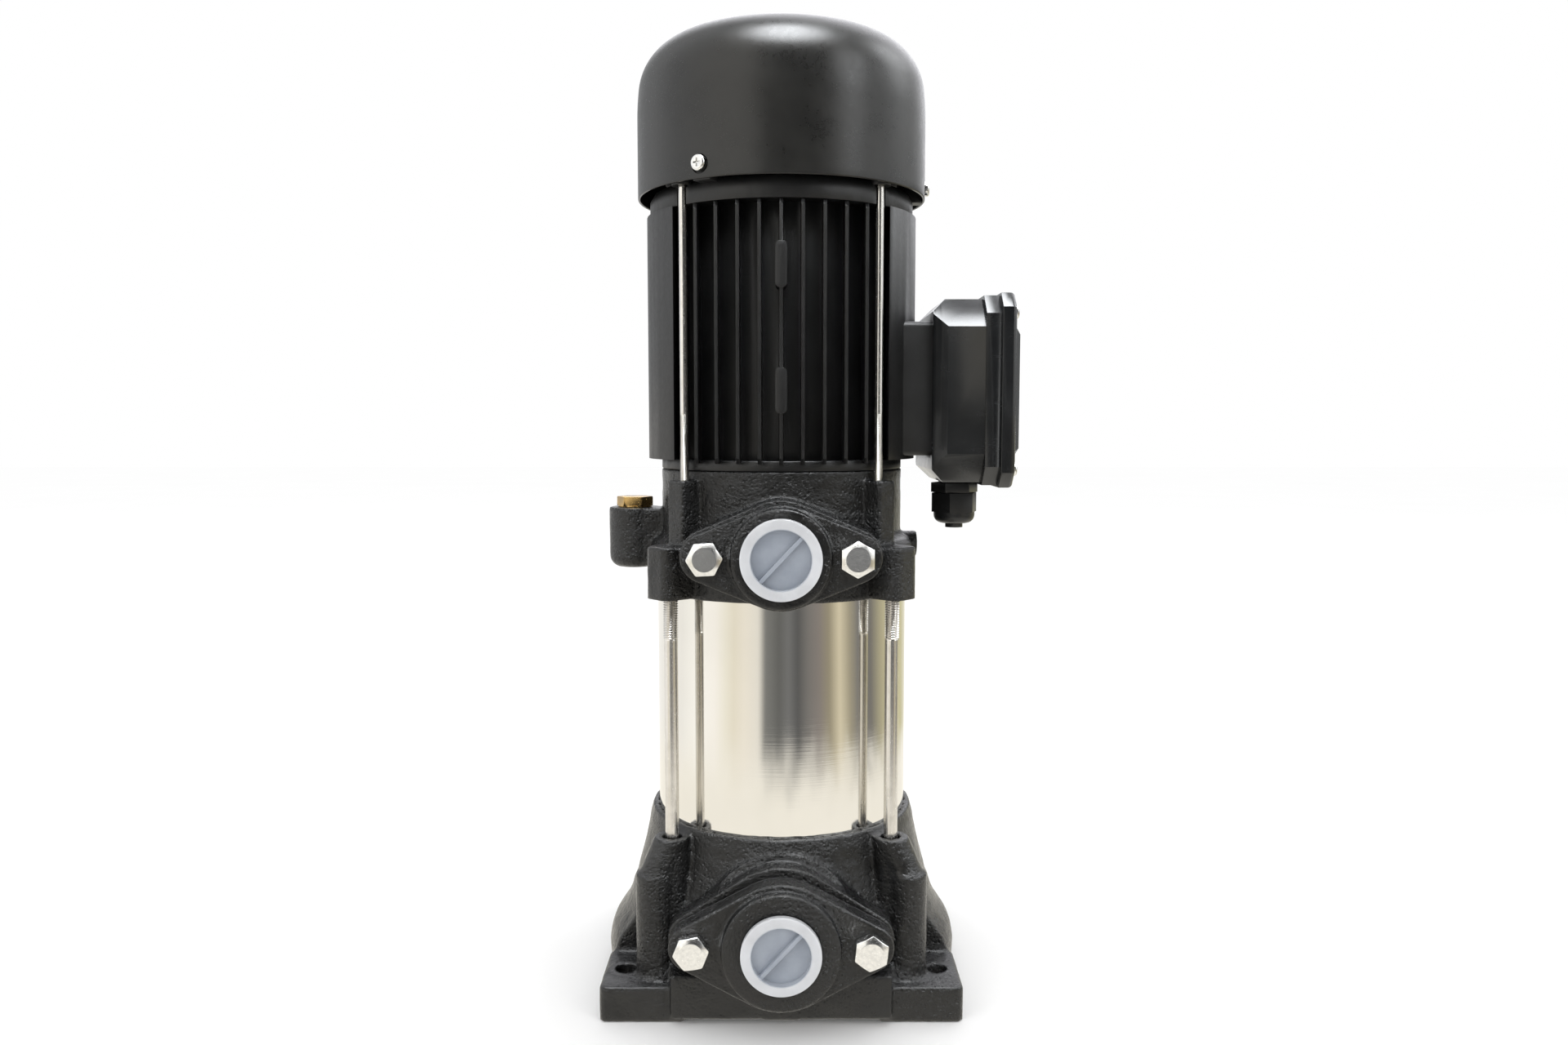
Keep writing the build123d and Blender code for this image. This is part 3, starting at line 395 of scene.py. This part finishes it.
for n in ("motor_frame",):
    bevel(N[n], 0.55, 2)
for n in ("drive_end_shield", "upper_end_shield"):
    bevel(N[n], 0.6, 2)
for n in ("terminal_box",):
    bevel(N[n], 0.7, 3)
for n in ("terminal_box_lid",):
    bevel(N[n], 0.7, 3)
for n in ("inlet_transit_plug", "outlet_transit_plug"):
    bevel(N[n], 0.3, 2)
for n in ("gland_body", "gland_nut", "gland_blanking_plug"):
    bevel(N[n], 0.5, 2)
for n in ("priming_plug",):
    bevel(N[n], 0.3, 2)
for n in ("inlet_gasket", "outlet_gasket", "lid_screws", "fan_cover_screws", "terminal_block", "cooling_fan"):
    bevel(N[n], 0.15, 2)
for n, o in N.items():
    if not o.modifiers:
        bevel(o, 0.12, 1, 40)


# ============================================================ mesh helpers
def obj_from(name, verts, faces, mat, body, node=None, smooth=True):
    me = bpy.data.meshes.new(name)
    me.from_pydata([tuple(v) for v in verts], [], faces)
    me.validate()
    me.update()
    o = bpy.data.objects.new(name, me)
    COL.objects.link(o)
    me.materials.append(mat)
    if smooth:
        me.polygons.foreach_set("use_smooth", [True] * len(me.polygons))
    bm = bmesh.new()
    bm.from_mesh(me)
    bmesh.ops.remove_doubles(bm, verts=bm.verts, dist=1e-7)
    bmesh.ops.recalc_face_normals(bm, faces=bm.faces)
    bm.to_mesh(me)
    bm.free()
    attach(o, body)
    if node:
        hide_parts(*( [node] if isinstance(node, str) else node))
    return o


def lathe(profile, seg, close=True):
    """Closed (r, z) outline in mm turned about Z; returns verts and faces in metres."""
    verts, faces = [], []
    n = len(profile)
    for k in range(seg):
        a = 2 * math.pi * k / seg
        ca, sa = math.cos(a), math.sin(a)
        for r, z in profile:
            verts.append((r * ca * MM, r * sa * MM, z * MM))
    for k in range(seg):
        k2 = (k + 1) % seg
        for i in range(n if close else n - 1):
            j = (i + 1) % n
            faces.append((k * n + i, k2 * n + i, k2 * n + j, k * n + j))
    return verts, faces


def mark_sharp(o, angle):
    """Flat-to-round shading split at real edges only."""
    m = o.modifiers.new("split", "EDGE_SPLIT")
    m.split_angle = math.radians(angle)
    return m


# ============================================================ fan cover
R_COVER, Z_DOME, Z_RIM, T = 78.8, 472.3, 430.6, 1.3
ARCS = [(147.745, 0.112331), (28.994, 1.169580)]
xe, te = R_COVER, 0.0
for r, a in ARCS:
    xe -= r * (math.cos(te) - math.cos(te + a))
    te += a
ARCS.append((xe / math.cos(te), math.pi / 2 - te))


def dome_line(inset, step):
    """Points up the dome from the skirt to the axis, moved inwards by inset."""
    pts, x, z, th = [], R_COVER, Z_DOME, 0.0
    for r, a in ARCS:
        cx, cz = x - r * math.cos(th), z - r * math.sin(th)
        n = max(4, int(r * a / step))
        for i in range(n + 1):
            u = th + a * i / n
            rr = r - inset
            p = (cx + rr * math.cos(u), cz + rr * math.sin(u))
            if not pts or math.dist(pts[-1], p) > 1e-6:
                pts.append(p)
        x, z, th = cx + r * math.cos(th + a), cz + r * math.sin(th + a), th + a
    return pts


def at(radius, deg):
    a = math.radians(deg)
    return radius * math.sin(a), -radius * math.cos(a)


def fan_cover():
    seg = 216
    out = [(R_COVER - 0.25, Z_RIM), (R_COVER - 0.06, Z_RIM + 0.2), (R_COVER, Z_RIM + 0.7)]
    z = Z_RIM + 4
    while z < Z_DOME - 2:
        out.append((R_COVER, z))
        z += 5
    out += [(R_COVER, Z_DOME)] + dome_line(0.0, 2.0)[1:]
    inn = [(R_COVER - T + 0.25, Z_RIM), (R_COVER - T + 0.06, Z_RIM + 0.2), (R_COVER - T, Z_RIM + 0.7)]
    z = Z_RIM + 4
    while z < Z_DOME - 2:
        inn.append((R_COVER - T, z))
        z += 5
    inn += [(R_COVER - T, Z_DOME)] + dome_line(T, 2.0)[1:]
    assert len(out) == len(inn)
    # slot bands on the crown: snap rows to the band radii
    bands = [(12.0, 16.0, 4, 30.0), (20.0, 24.0, 6, 20.0), (28.0, 32.0, 8, 15.5)]
    n = len(out)

    def radius(i):
        return out[i][0]

    rows_at = {}
    for lo, hi, cnt, half in bands:
        for v in (lo, hi):
            i = min(range(n), key=lambda q: abs(radius(q) - v) if q not in rows_at.values() else 9e9)
            rows_at[v] = i
            zc_o = out[i][1]
            out[i] = (v, zc_o)
            inn[i] = (v, inn[i][1])
    verts, faces = [], []
    for k in range(seg):
        a = 2 * math.pi * k / seg
        ca, sa = math.cos(a), math.sin(a)
        for r, z in out:
            verts.append((r * ca * MM, r * sa * MM, z * MM))
        for r, z in inn:
            verts.append((r * ca * MM, r * sa * MM, z * MM))
    w = 2 * n
    hole = set()
    for lo, hi, cnt, half in bands:
        i0, i1 = sorted((rows_at[lo], rows_at[hi]))
        for k in range(seg):
            mid = 360.0 * (k + 0.5) / seg
            off = (mid + 180.0 / cnt) % (360.0 / cnt) - 180.0 / cnt
            if abs(off) < half * 0.93:
                for i in range(i0, i1):
                    hole.add((k, i))

    def vo(k, i):
        return (k % seg) * w + i

    def vi(k, i):
        return (k % seg) * w + n + i

    for k in range(seg):
        faces.append((vo(k, 0), vi(k, 0), vi(k + 1, 0), vo(k + 1, 0)))
        for i in range(n - 1):
            if (k, i) in hole:
                continue
            faces.append((vo(k, i), vo(k + 1, i), vo(k + 1, i + 1), vo(k, i + 1)))
            faces.append((vi(k, i), vi(k, i + 1), vi(k + 1, i + 1), vi(k + 1, i)))
            if (k, i + 1) in hole and i + 1 < n:
                faces.append((vo(k, i + 1), vo(k + 1, i + 1), vi(k + 1, i + 1), vi(k, i + 1)))
            if (k, i - 1) in hole and i > 0:
                faces.append((vo(k, i), vi(k, i), vi(k + 1, i), vo(k + 1, i)))
            if ((k + 1) % seg, i) in hole:
                faces.append((vo(k + 1, i), vi(k + 1, i), vi(k + 1, i + 1), vo(k + 1, i + 1)))
            if ((k - 1) % seg, i) in hole:
                faces.append((vo(k, i), vo(k, i + 1), vi(k, i + 1), vi(k, i)))
    o = obj_from("fan_cover_shell", verts, faces, MAT["cover_black"], "root", "fan_cover")
    # clearance holes for the three screws
    cut_v, cut_f = [], []
    for a in (-31, 89, 209):
        base = len(cut_v)
        m = 32
        ax = Vector((math.sin(math.radians(a)), -math.cos(math.radians(a)), 0))
        tx = Vector((ax.y, -ax.x, 0))
        for rr in (R_COVER - 6, R_COVER + 6):
            for q in range(m):
                t = 2 * math.pi * q / m
                p = ax * rr + tx * (4.9 * math.cos(t)) + Vector((0, 0, 438.0 - 0.35 + 4.9 * math.sin(t)))
                cut_v.append(tuple(p * MM))
        for q in range(m):
            cut_f.append((base + q, base + (q + 1) % m, base + m + (q + 1) % m, base + m + q))
        cut_f.append(tuple(base + q for q in range(m))[::-1])
        cut_f.append(tuple(base + m + q for q in range(m)))
    me = bpy.data.meshes.new("cutters")
    me.from_pydata(cut_v, [], cut_f)
    bm = bmesh.new()
    bm.from_mesh(me)
    bmesh.ops.recalc_face_normals(bm, faces=bm.faces)
    bm.to_mesh(me)
    bm.free()
    c = bpy.data.objects.new("cutters", me)
    COL.objects.link(c)
    b = o.modifiers.new("holes", "BOOLEAN")
    b.operation = "DIFFERENCE"
    b.object = c
    b.solver = "EXACT"
    apply_all(o)
    bpy.data.objects.remove(c)
    mark_sharp(o, 40)
    return o


def apply_all(o):
    C.view_layer.update()
    dg = C.evaluated_depsgraph_get()
    me = bpy.data.meshes.new_from_object(o.evaluated_get(dg))
    old = o.data
    o.modifiers.clear()
    o.data = me
    bpy.data.meshes.remove(old)


fan_cover()


# ============================================================ sleeve
def sleeve():
    R, t, z0, z1 = 69.8, 1.5, 91.0, 221.0
    prof = [(R - t, z0), (R - t, z1), (R, z1)]
    n = 26
    for i in range(1, n):
        prof.append((R, z1 + (z0 - z1) * i / n))
    prof.append((R, z0))
    v, f = lathe(prof, 288)
    o = obj_from("polished_sleeve", v, f, MAT["mirror_stainless"], "root", "outer_sleeve")
    mark_sharp(o, 30)
    return o


sleeve()


# ============================================================ threaded rods
def rod_mesh(x, y, rows, seg=28):
    """rows: [(z, radius function of angle)] from bottom to top, closed with end caps."""
    verts, faces = [], []
    for z, fn in rows:
        for k in range(seg):
            a = 2 * math.pi * k / seg
            r = fn(a)
            verts.append(((x + r * math.cos(a)) * MM, (y + r * math.sin(a)) * MM, z * MM))
    for i in range(len(rows) - 1):
        for k in range(seg):
            k2 = (k + 1) % seg
            faces.append((i * seg + k, i * seg + k2, (i + 1) * seg + k2, (i + 1) * seg + k))
    faces.append(tuple(range(seg))[::-1])
    top = (len(rows) - 1) * seg
    faces.append(tuple(top + k for k in range(seg)))
    return verts, faces


def thread_fn(z, pitch, major, minor, lo, hi, run_out):
    """Radius of a right-hand V thread at height z, running out into the shank."""
    fade = min(1.0, max(0.0, (z - lo) / (1.5 * pitch)), max(0.0, (hi - z) / (1.5 * pitch)))

    def fn(a):
        p = (z / pitch - a / (2 * math.pi)) % 1.0
        tri = 1.0 - abs(2 * p - 1.0)          # 0 at the root, 1 at the crest
        s = min(1.0, max(0.0, (tri - 0.16) / 0.70))
        r = minor + (major - minor) * s
        return r * fade + run_out * (1 - fade)

    return fn


def threaded_rod(x, y, z0, z1, shank, major, minor, pitch, t0, t1, seg=28):
    rows = []

    def const(r):
        return lambda a: r

    rows.append((z0, const(shank - 0.5)))
    rows.append((z0 + 0.5, const(shank)))
    z = z0 + 6
    while z < t0 - 1:
        rows.append((z, const(shank)))
        z += 12
    rows.append((t0 - 0.6, const(shank)))
    rows.append((t0, const(shank)))
    steps = 7
    n = int((t1 - t0) / pitch * steps)
    for i in range(1, n):
        zz = t0 + (t1 - t0) * i / n
        rows.append((zz, thread_fn(zz, pitch, major, minor, t0, t1 + 50, shank)))
    rows.append((t1, const(minor)))
    if z1 > t1:
        z = t1 + 1
        rows.append((z, const(minor)))
        rows.append((z1, const(minor)))
    return rod_mesh(x, y, rows, seg)


def hex_head(x, y, af, z0, z1, turn, chamf=True):
    """Hexagon head or nut with the usual 30 degree corner chamfer on top."""
    verts, faces = [], []
    seg = 72
    rc = af / 2 * 1.02
    re = af / math.sqrt(3)

    def hexr(a):
        u = (a - math.radians(turn)) % (math.pi / 3) - math.pi / 6
        return af / 2 / math.cos(u)

    rows = [(z0, 0.0), (z0, 1.0)]
    h = abs(z1 - z0)
    sgn = 1 if z1 > z0 else -1
    levels = [0.0, 0.5, 0.7, 0.8, 0.88, 0.94, 1.0]
    for lv in levels:
        z = z0 + sgn * h * lv
        for k in range(seg):
            a = 2 * math.pi * k / seg
            r = hexr(a)
            top_room = (1.0 - lv) * h / math.tan(math.radians(30))
            r = min(r, af / 2 * 0.96 + top_room)
            verts.append(((x + r * math.cos(a)) * MM, (y + r * math.sin(a)) * MM, z * MM))
    m = len(levels)
    for i in range(m - 1):
        for k in range(seg):
            k2 = (k + 1) % seg
            faces.append((i * seg + k, i * seg + k2, (i + 1) * seg + k2, (i + 1) * seg + k))
    faces.append(tuple(range(seg))[::-1])
    faces.append(tuple((m - 1) * seg + k for k in range(seg)))
    return verts, faces


def join(parts):
    v, f = [], []
    for vv, ff in parts:
        b = len(v)
        v += list(vv)
        f += [tuple(b + i for i in t) for t in ff]
    return v, f


def tie_rods():
    parts = []
    for a in (-45, 45, 135, 225):
        x, y = at(81.5, a)
        parts.append(threaded_rod(x, y, 11.0, 236.0, 3.62, 3.95, 3.32, 1.25, 196.5, 222.0, 32))
        parts.append(hex_head(x, y, 13.0, 12.2, 6.9, a))
    v, f = join(parts)
    o = obj_from("tie_rods_threaded", v, f, MAT["bright_steel"], "root", "tie_rods")
    mark_sharp(o, 50)


def through_bolts():
    parts = []
    for a in (-45, 45, 135, 225):
        x, y = at(71.3, a)
        # thread at the lower end, where the bolt enters the head
        rows_v, rows_f = threaded_rod(x, y, 0.0, 174.0, 2.25, 2.46, 2.06, 0.8, 122.0, 160.0, 24)
        # built upside down: flip so that the thread is at the bottom
        z_top = 436.0
        rows_v = [(p[0], p[1], z_top * MM - p[2]) for p in rows_v]
        rows_f = [t[::-1] for t in rows_f]
        parts.append((rows_v, rows_f))
        parts.append(hex_head(x, y, 8.0, 434.9, 438.6, a + 15))
        ring = [(5.0, 434.0), (5.0, 434.7), (4.4, 435.1), (2.3, 435.1), (2.3, 434.0)]
        lv, lf = lathe(ring, 36)
        parts.append(([(p[0] + x * MM, p[1] + y * MM, p[2]) for p in lv], lf))
    v, f = join(parts)
    o = obj_from("motor_bolts_threaded", v, f, MAT["bright_steel"], "root", "motor_through_bolts")
    mark_sharp(o, 50)


def flange_bolts(name, node, x, z, face, tip, turns):
    """Hexagon bolts along -Y: a round flat disc inside a broad bright chamfer."""
    verts, faces = [], []
    seg, af, disc, high = 72, 16.0, 5.95, 6.4

    def hexr(a, turn):
        u = (a - math.radians(turn)) % (math.pi / 3) - math.pi / 6
        return af / 2 / math.cos(u)

    for sx, turn in zip((-1, 1), turns):
        base = len(verts)

        def ring(fn):
            for k in range(seg):
                a = 2 * math.pi * k / seg
                r, y = fn(a)
                verts.append(((sx * x + r * math.cos(a)) * MM, y * MM, (z + r * math.sin(a)) * MM))

        top = -(face + high)
        ring(lambda a: (4.85, -tip))
        ring(lambda a: (4.85, -face - 0.01))
        ring(lambda a: (hexr(a, turn) - 0.25, -face - 0.01))
        ring(lambda a: (hexr(a, turn), -face - 0.26))
        ring(lambda a: (hexr(a, turn), top + 0.12 + (hexr(a, turn) - disc) * 0.52))
        ring(lambda a: (hexr(a, turn) - 0.14, top + (hexr(a, turn) - 0.14 - disc) * 0.52))
        ring(lambda a: (disc + 0.12, top + 0.12 * 0.52))
        ring(lambda a: (disc - 0.1, top + 0.02))
        ring(lambda a: (disc - 0.4, top + 0.02))
        for i in range(8):
            for k in range(seg):
                k2 = (k + 1) % seg
                faces.append((base + i * seg + k, base + i * seg + k2, base + (i + 1) * seg + k2, base + (i + 1) * seg + k))
        faces.append(tuple(base + k for k in range(seg))[::-1])
        faces.append(tuple(base + 8 * seg + k for k in range(seg)))
    # the rings run along -Y with X and Z, so this winding already faces outwards
    o = obj_from(name, verts, faces, MAT["zinc_steel"], "root", node)
    mark_sharp(o, 20)


tie_rods()
through_bolts()
flange_bolts("inlet_bolts_hex", "inlet_flange_bolts", 44.75, 47.6, 98.0, 76.0, (8, 24))
flange_bolts("outlet_bolts_hex", "outlet_flange_bolts", 37.45, 243.0, 92.0, 70.0, (3, 30))


# ============================================================ floor, light, camera
def card(name, loc, size, rot, mat, glossy_only=False):
    me = bpy.data.meshes.new(name)
    sx, sy = size[0] / 2, size[1] / 2
    me.from_pydata([(-sx, -sy, 0), (sx, -sy, 0), (sx, sy, 0), (-sx, sy, 0)], [], [(0, 1, 2, 3)])
    o = bpy.data.objects.new(name, me)
    COL.objects.link(o)
    o.location = loc
    o.rotation_euler = rot
    me.materials.append(mat)
    if glossy_only:
        o.visible_camera = False
        o.visible_diffuse = False
        o.visible_transmission = False
        o.visible_shadow = False
    return o


class W:
    """Maths nodes in any tree, for the studio's light pattern."""

    def __init__(self, nt):
        self.nt = nt

    def link(self, a, b):
        self.nt.links.new(a, b)

    def put(self, socket, v):
        if isinstance(v, (int, float)):
            socket.default_value = v
        elif isinstance(v, tuple):
            socket.default_value = v if len(v) == len(socket.default_value) else (*v, 1)
        else:
            self.link(v, socket)

    def math(self, op, a, b=None, clamp=False):
        n = self.nt.nodes.new("ShaderNodeMath")
        n.operation = op
        n.use_clamp = clamp
        self.put(n.inputs[0], a)
        if b is not None:
            self.put(n.inputs[1], b)
        return n.outputs[0]

    def step(self, v, lo, hi):
        """Smooth 0 to 1 as v goes from lo to hi."""
        n = self.nt.nodes.new("ShaderNodeMapRange")
        n.interpolation_type = "SMOOTHSTEP"
        self.put(n.inputs[0], v)
        if lo < hi:
            n.inputs[1].default_value, n.inputs[2].default_value = lo, hi
            n.inputs[3].default_value, n.inputs[4].default_value = 0, 1
        else:
            n.inputs[1].default_value, n.inputs[2].default_value = hi, lo
            n.inputs[3].default_value, n.inputs[4].default_value = 1, 0
        return n.outputs[0]

    def mix(self, fac, a, b, blend="MIX"):
        n = self.nt.nodes.new("ShaderNodeMix")
        n.data_type = "RGBA"
        n.blend_type = blend
        self.put([i for i in n.inputs if i.name == "Factor" and i.type == "VALUE"][0], fac)
        self.put([i for i in n.inputs if i.name == "A" and i.type == "RGBA"][0], a)
        self.put([i for i in n.inputs if i.name == "B" and i.type == "RGBA"][0], b)
        return [o for o in n.outputs if o.type == "RGBA"][0]

    def dot(self, v, d):
        n = self.nt.nodes.new("ShaderNodeVectorMath")
        n.operation = "DOT_PRODUCT"
        self.put(n.inputs[0], v)
        d = Vector(d).normalized()
        n.inputs[1].default_value = tuple(d)
        return n.outputs["Value"]

    def polar(self, v):
        """Azimuth from -Y towards +X and the z share, for a vector output."""
        sp = self.nt.nodes.new("ShaderNodeSeparateXYZ")
        self.link(v, sp.inputs[0])
        az = self.math("ARCTAN2", sp.outputs[0], self.math("MULTIPLY", sp.outputs[1], -1.0))
        return self.math("MULTIPLY", az, 180 / math.pi), sp


floor_m = M("studio_floor", (0.9, 0.9, 0.9), 0.7, Specular_IOR_Level=0.0)
floor_m.set("Base Color", floor_m.mix(floor_m.noise(3, 2), (0.89, 0.89, 0.89), (0.91, 0.91, 0.91)))
floor = card("studio_floor_plane", (0, 0, 0), (16, 16), (0, 0, 0), floor_m.done())

# the studio room as the shiny parts see it: pale walls, a dark stretch where the
# camera stands, one soft light above and behind
world = bpy.data.worlds.new("studio")
C.scene.world = world
C.scene.view_settings.view_transform = "Standard"
world.use_nodes = True
world.cycles.sampling_method = "NONE"
wt = world.node_tree
wt.nodes.clear()
g = W(wt)
tcw = wt.nodes.new("ShaderNodeTexCoord")
direc = tcw.outputs["Generated"]
az, sp = g.polar(direc)
ez = sp.outputs[2]
dark = g.math("MULTIPLY", g.math("MULTIPLY", g.step(az, -24, -8), g.step(az, 54, 30)), g.step(ez, 0.86, 0.45))
room = g.mix(g.step(az, -140, -112), (0.62, 0.63, 0.64), (1.06, 1.07, 1.08))
room = g.mix(g.step(az, -95, -40), room, (1.36, 1.33, 1.25))
room = g.mix(g.step(az, 30, 75), room, (0.98, 1.0, 1.0))
room = g.mix(dark, room, (0.05, 0.05, 0.052))
low = g.math("MULTIPLY", g.step(az, 104, 130), g.step(ez, 0.20, 0.165))
room = g.mix(low, room, (0.16, 0.16, 0.16))


def soft_lamp(room, az_deg, el_deg, outer, inner, colour):
    """A round soft light in the direction az (from -Y towards +X), el."""
    a_, e_ = math.radians(az_deg), math.radians(el_deg)
    d = (math.cos(e_) * math.sin(a_), -math.cos(e_) * math.cos(a_), math.sin(e_))
    return g.mix(g.step(g.dot(direc, d), math.cos(math.radians(outer)), math.cos(math.radians(inner))), room, colour)


room = soft_lamp(room, 10, 71, 26, 4, (19.5, 20.0, 20.6))
room = soft_lamp(room, 57, 25, 15, 3, (4.6, 4.7, 4.8))
room = soft_lamp(room, 108, 34, 20, 6, (4.8, 4.9, 5.0))
room = soft_lamp(room, 165, 40, 40, 12, (2.4, 2.4, 2.5))
lp = wt.nodes.new("ShaderNodeLightPath")
bg_gl = wt.nodes.new("ShaderNodeBackground")
wt.links.new(room, bg_gl.inputs[0])
bg_df = wt.nodes.new("ShaderNodeBackground")
bg_df.inputs[0].default_value = (1.0, 1.0, 1.0, 1)
bg_df.inputs[1].default_value = 1.1
bg_cam = wt.nodes.new("ShaderNodeBackground")
bg_cam.inputs[0].default_value = (1, 1, 1, 1)
m1 = wt.nodes.new("ShaderNodeMixShader")
m2 = wt.nodes.new("ShaderNodeMixShader")
wo = wt.nodes.new("ShaderNodeOutputWorld")
wt.links.new(lp.outputs["Is Glossy Ray"], m1.inputs[0])
wt.links.new(bg_df.outputs[0], m1.inputs[1])
wt.links.new(bg_gl.outputs[0], m1.inputs[2])
wt.links.new(lp.outputs["Is Camera Ray"], m2.inputs[0])
wt.links.new(m1.outputs[0], m2.inputs[1])
wt.links.new(bg_cam.outputs[0], m2.inputs[2])
wt.links.new(m2.outputs[0], wo.inputs[0])

# the table top in front, as the polished sleeve sees it
mat = bpy.data.materials.new("studio_front")
mat.use_nodes = True
mt = mat.node_tree
mt.nodes.clear()
h = W(mt)
tcm = mt.nodes.new("ShaderNodeTexCoord")
azm, spm = h.polar(tcm.outputs["Object"])
rr = h.math("SQRT", h.math("ADD", h.math("MULTIPLY", spm.outputs[0], spm.outputs[0]), h.math("MULTIPLY", spm.outputs[1], spm.outputs[1])))
ramp = mt.nodes.new("ShaderNodeValToRGB")
STOPS = [(-100, (1.02, 1.0, 0.96)), (-80, (1.14, 1.12, 1.07)), (-60, (1.10, 1.06, 1.0)), (-50, (1.0, 0.96, 0.84)), (-42, (0.92, 0.86, 0.72)),
         (-32, (0.98, 0.92, 0.81)), (-20, (0.92, 0.88, 0.80)), (-14, (0.24, 0.24, 0.23)), (-2, (0.15, 0.15, 0.145)), (6, (0.20, 0.20, 0.20)),
         (14, (0.12, 0.12, 0.12)), (23, (0.22, 0.21, 0.2)), (33, (0.28, 0.25, 0.23)), (42, (0.36, 0.32, 0.23)), (52, (0.76, 0.68, 0.5)),
         (62, (0.42, 0.38, 0.28)), (72, (0.22, 0.215, 0.21)), (86, (0.22, 0.21, 0.19)), (100, (0.5, 0.46, 0.31)), (118, (0.74, 0.68, 0.46)),
         (140, (0.66, 0.62, 0.4)), (170, (1.0, 0.98, 0.9))]
e = ramp.color_ramp.elements
while len(e) > 1:
    e.remove(e[-1])
for i, (a_, c_) in enumerate(STOPS):
    p_ = (a_ + 180) / 360
    el = e[0] if i == 0 else e.new(p_)
    el.position = p_
    el.color = (*c_, 1)
h.link(h.math("DIVIDE", h.math("ADD", azm, 180), 360), ramp.inputs[0])
near = h.mix(0.0, (1.04, 1.00, 0.91), (1, 1, 1))
nzm = mt.nodes.new("ShaderNodeTexNoise")
nzm.inputs["Scale"].default_value = 9
h.link(tcm.outputs["Object"], nzm.inputs["Vector"])
rr2 = h.math("ADD", rr, h.math("MULTIPLY", h.math("SUBTRACT", nzm.outputs["Fac"], 0.5), 0.22))
col = h.mix(h.step(rr2, 0.40, 0.64), near, ramp.outputs[0])
em = mt.nodes.new("ShaderNodeEmission")
h.link(col, em.inputs[0])
mo = mt.nodes.new("ShaderNodeOutputMaterial")
h.link(em.outputs[0], mo.inputs[0])
front = card("studio_front_mat", (0, 0, 0.0004), (9, 9), (0, 0, 0), mat, glossy_only=True)


def area(name, loc, size, energy, target, color=(1, 1, 1)):
    l = bpy.data.lights.new(name, "AREA")
    l.shape = "RECTANGLE"
    l.size, l.size_y = size
    l.energy = energy
    l.color = color
    o = bpy.data.objects.new(name, l)
    COL.objects.link(o)
    o.location = loc
    o.visible_camera = False
    o.visible_glossy = False
    d = Vector(target) - Vector(loc)
    o.rotation_euler = d.to_track_quat("-Z", "Y").to_euler()
    return o


area("soft_left", (-1.6, -1.5, 1.3), (1.0, 1.6), 9, (0, 0, 0.27))
area("soft_right", (1.6, -1.6, 1.2), (0.8, 1.5), 6, (0, 0, 0.27), (1.0, 0.98, 0.94))
area("soft_top", (0.3, 0.4, 1.9), (1.2, 1.2), 9, (0, 0, 0.3))

cam = bpy.data.cameras.new("camera")
cam.sensor_width = 36.0
cam.lens = 1450.0 / 1920.0 * 36.0
cam.clip_start = 0.01
cam_o = bpy.data.objects.new("camera", cam)
COL.objects.link(cam_o)
cam_o.location = (0.0014, -0.668, 0.3085)
cam_o.rotation_euler = (math.radians(90 - 4.73), 0, 0)
C.scene.camera = cam_o
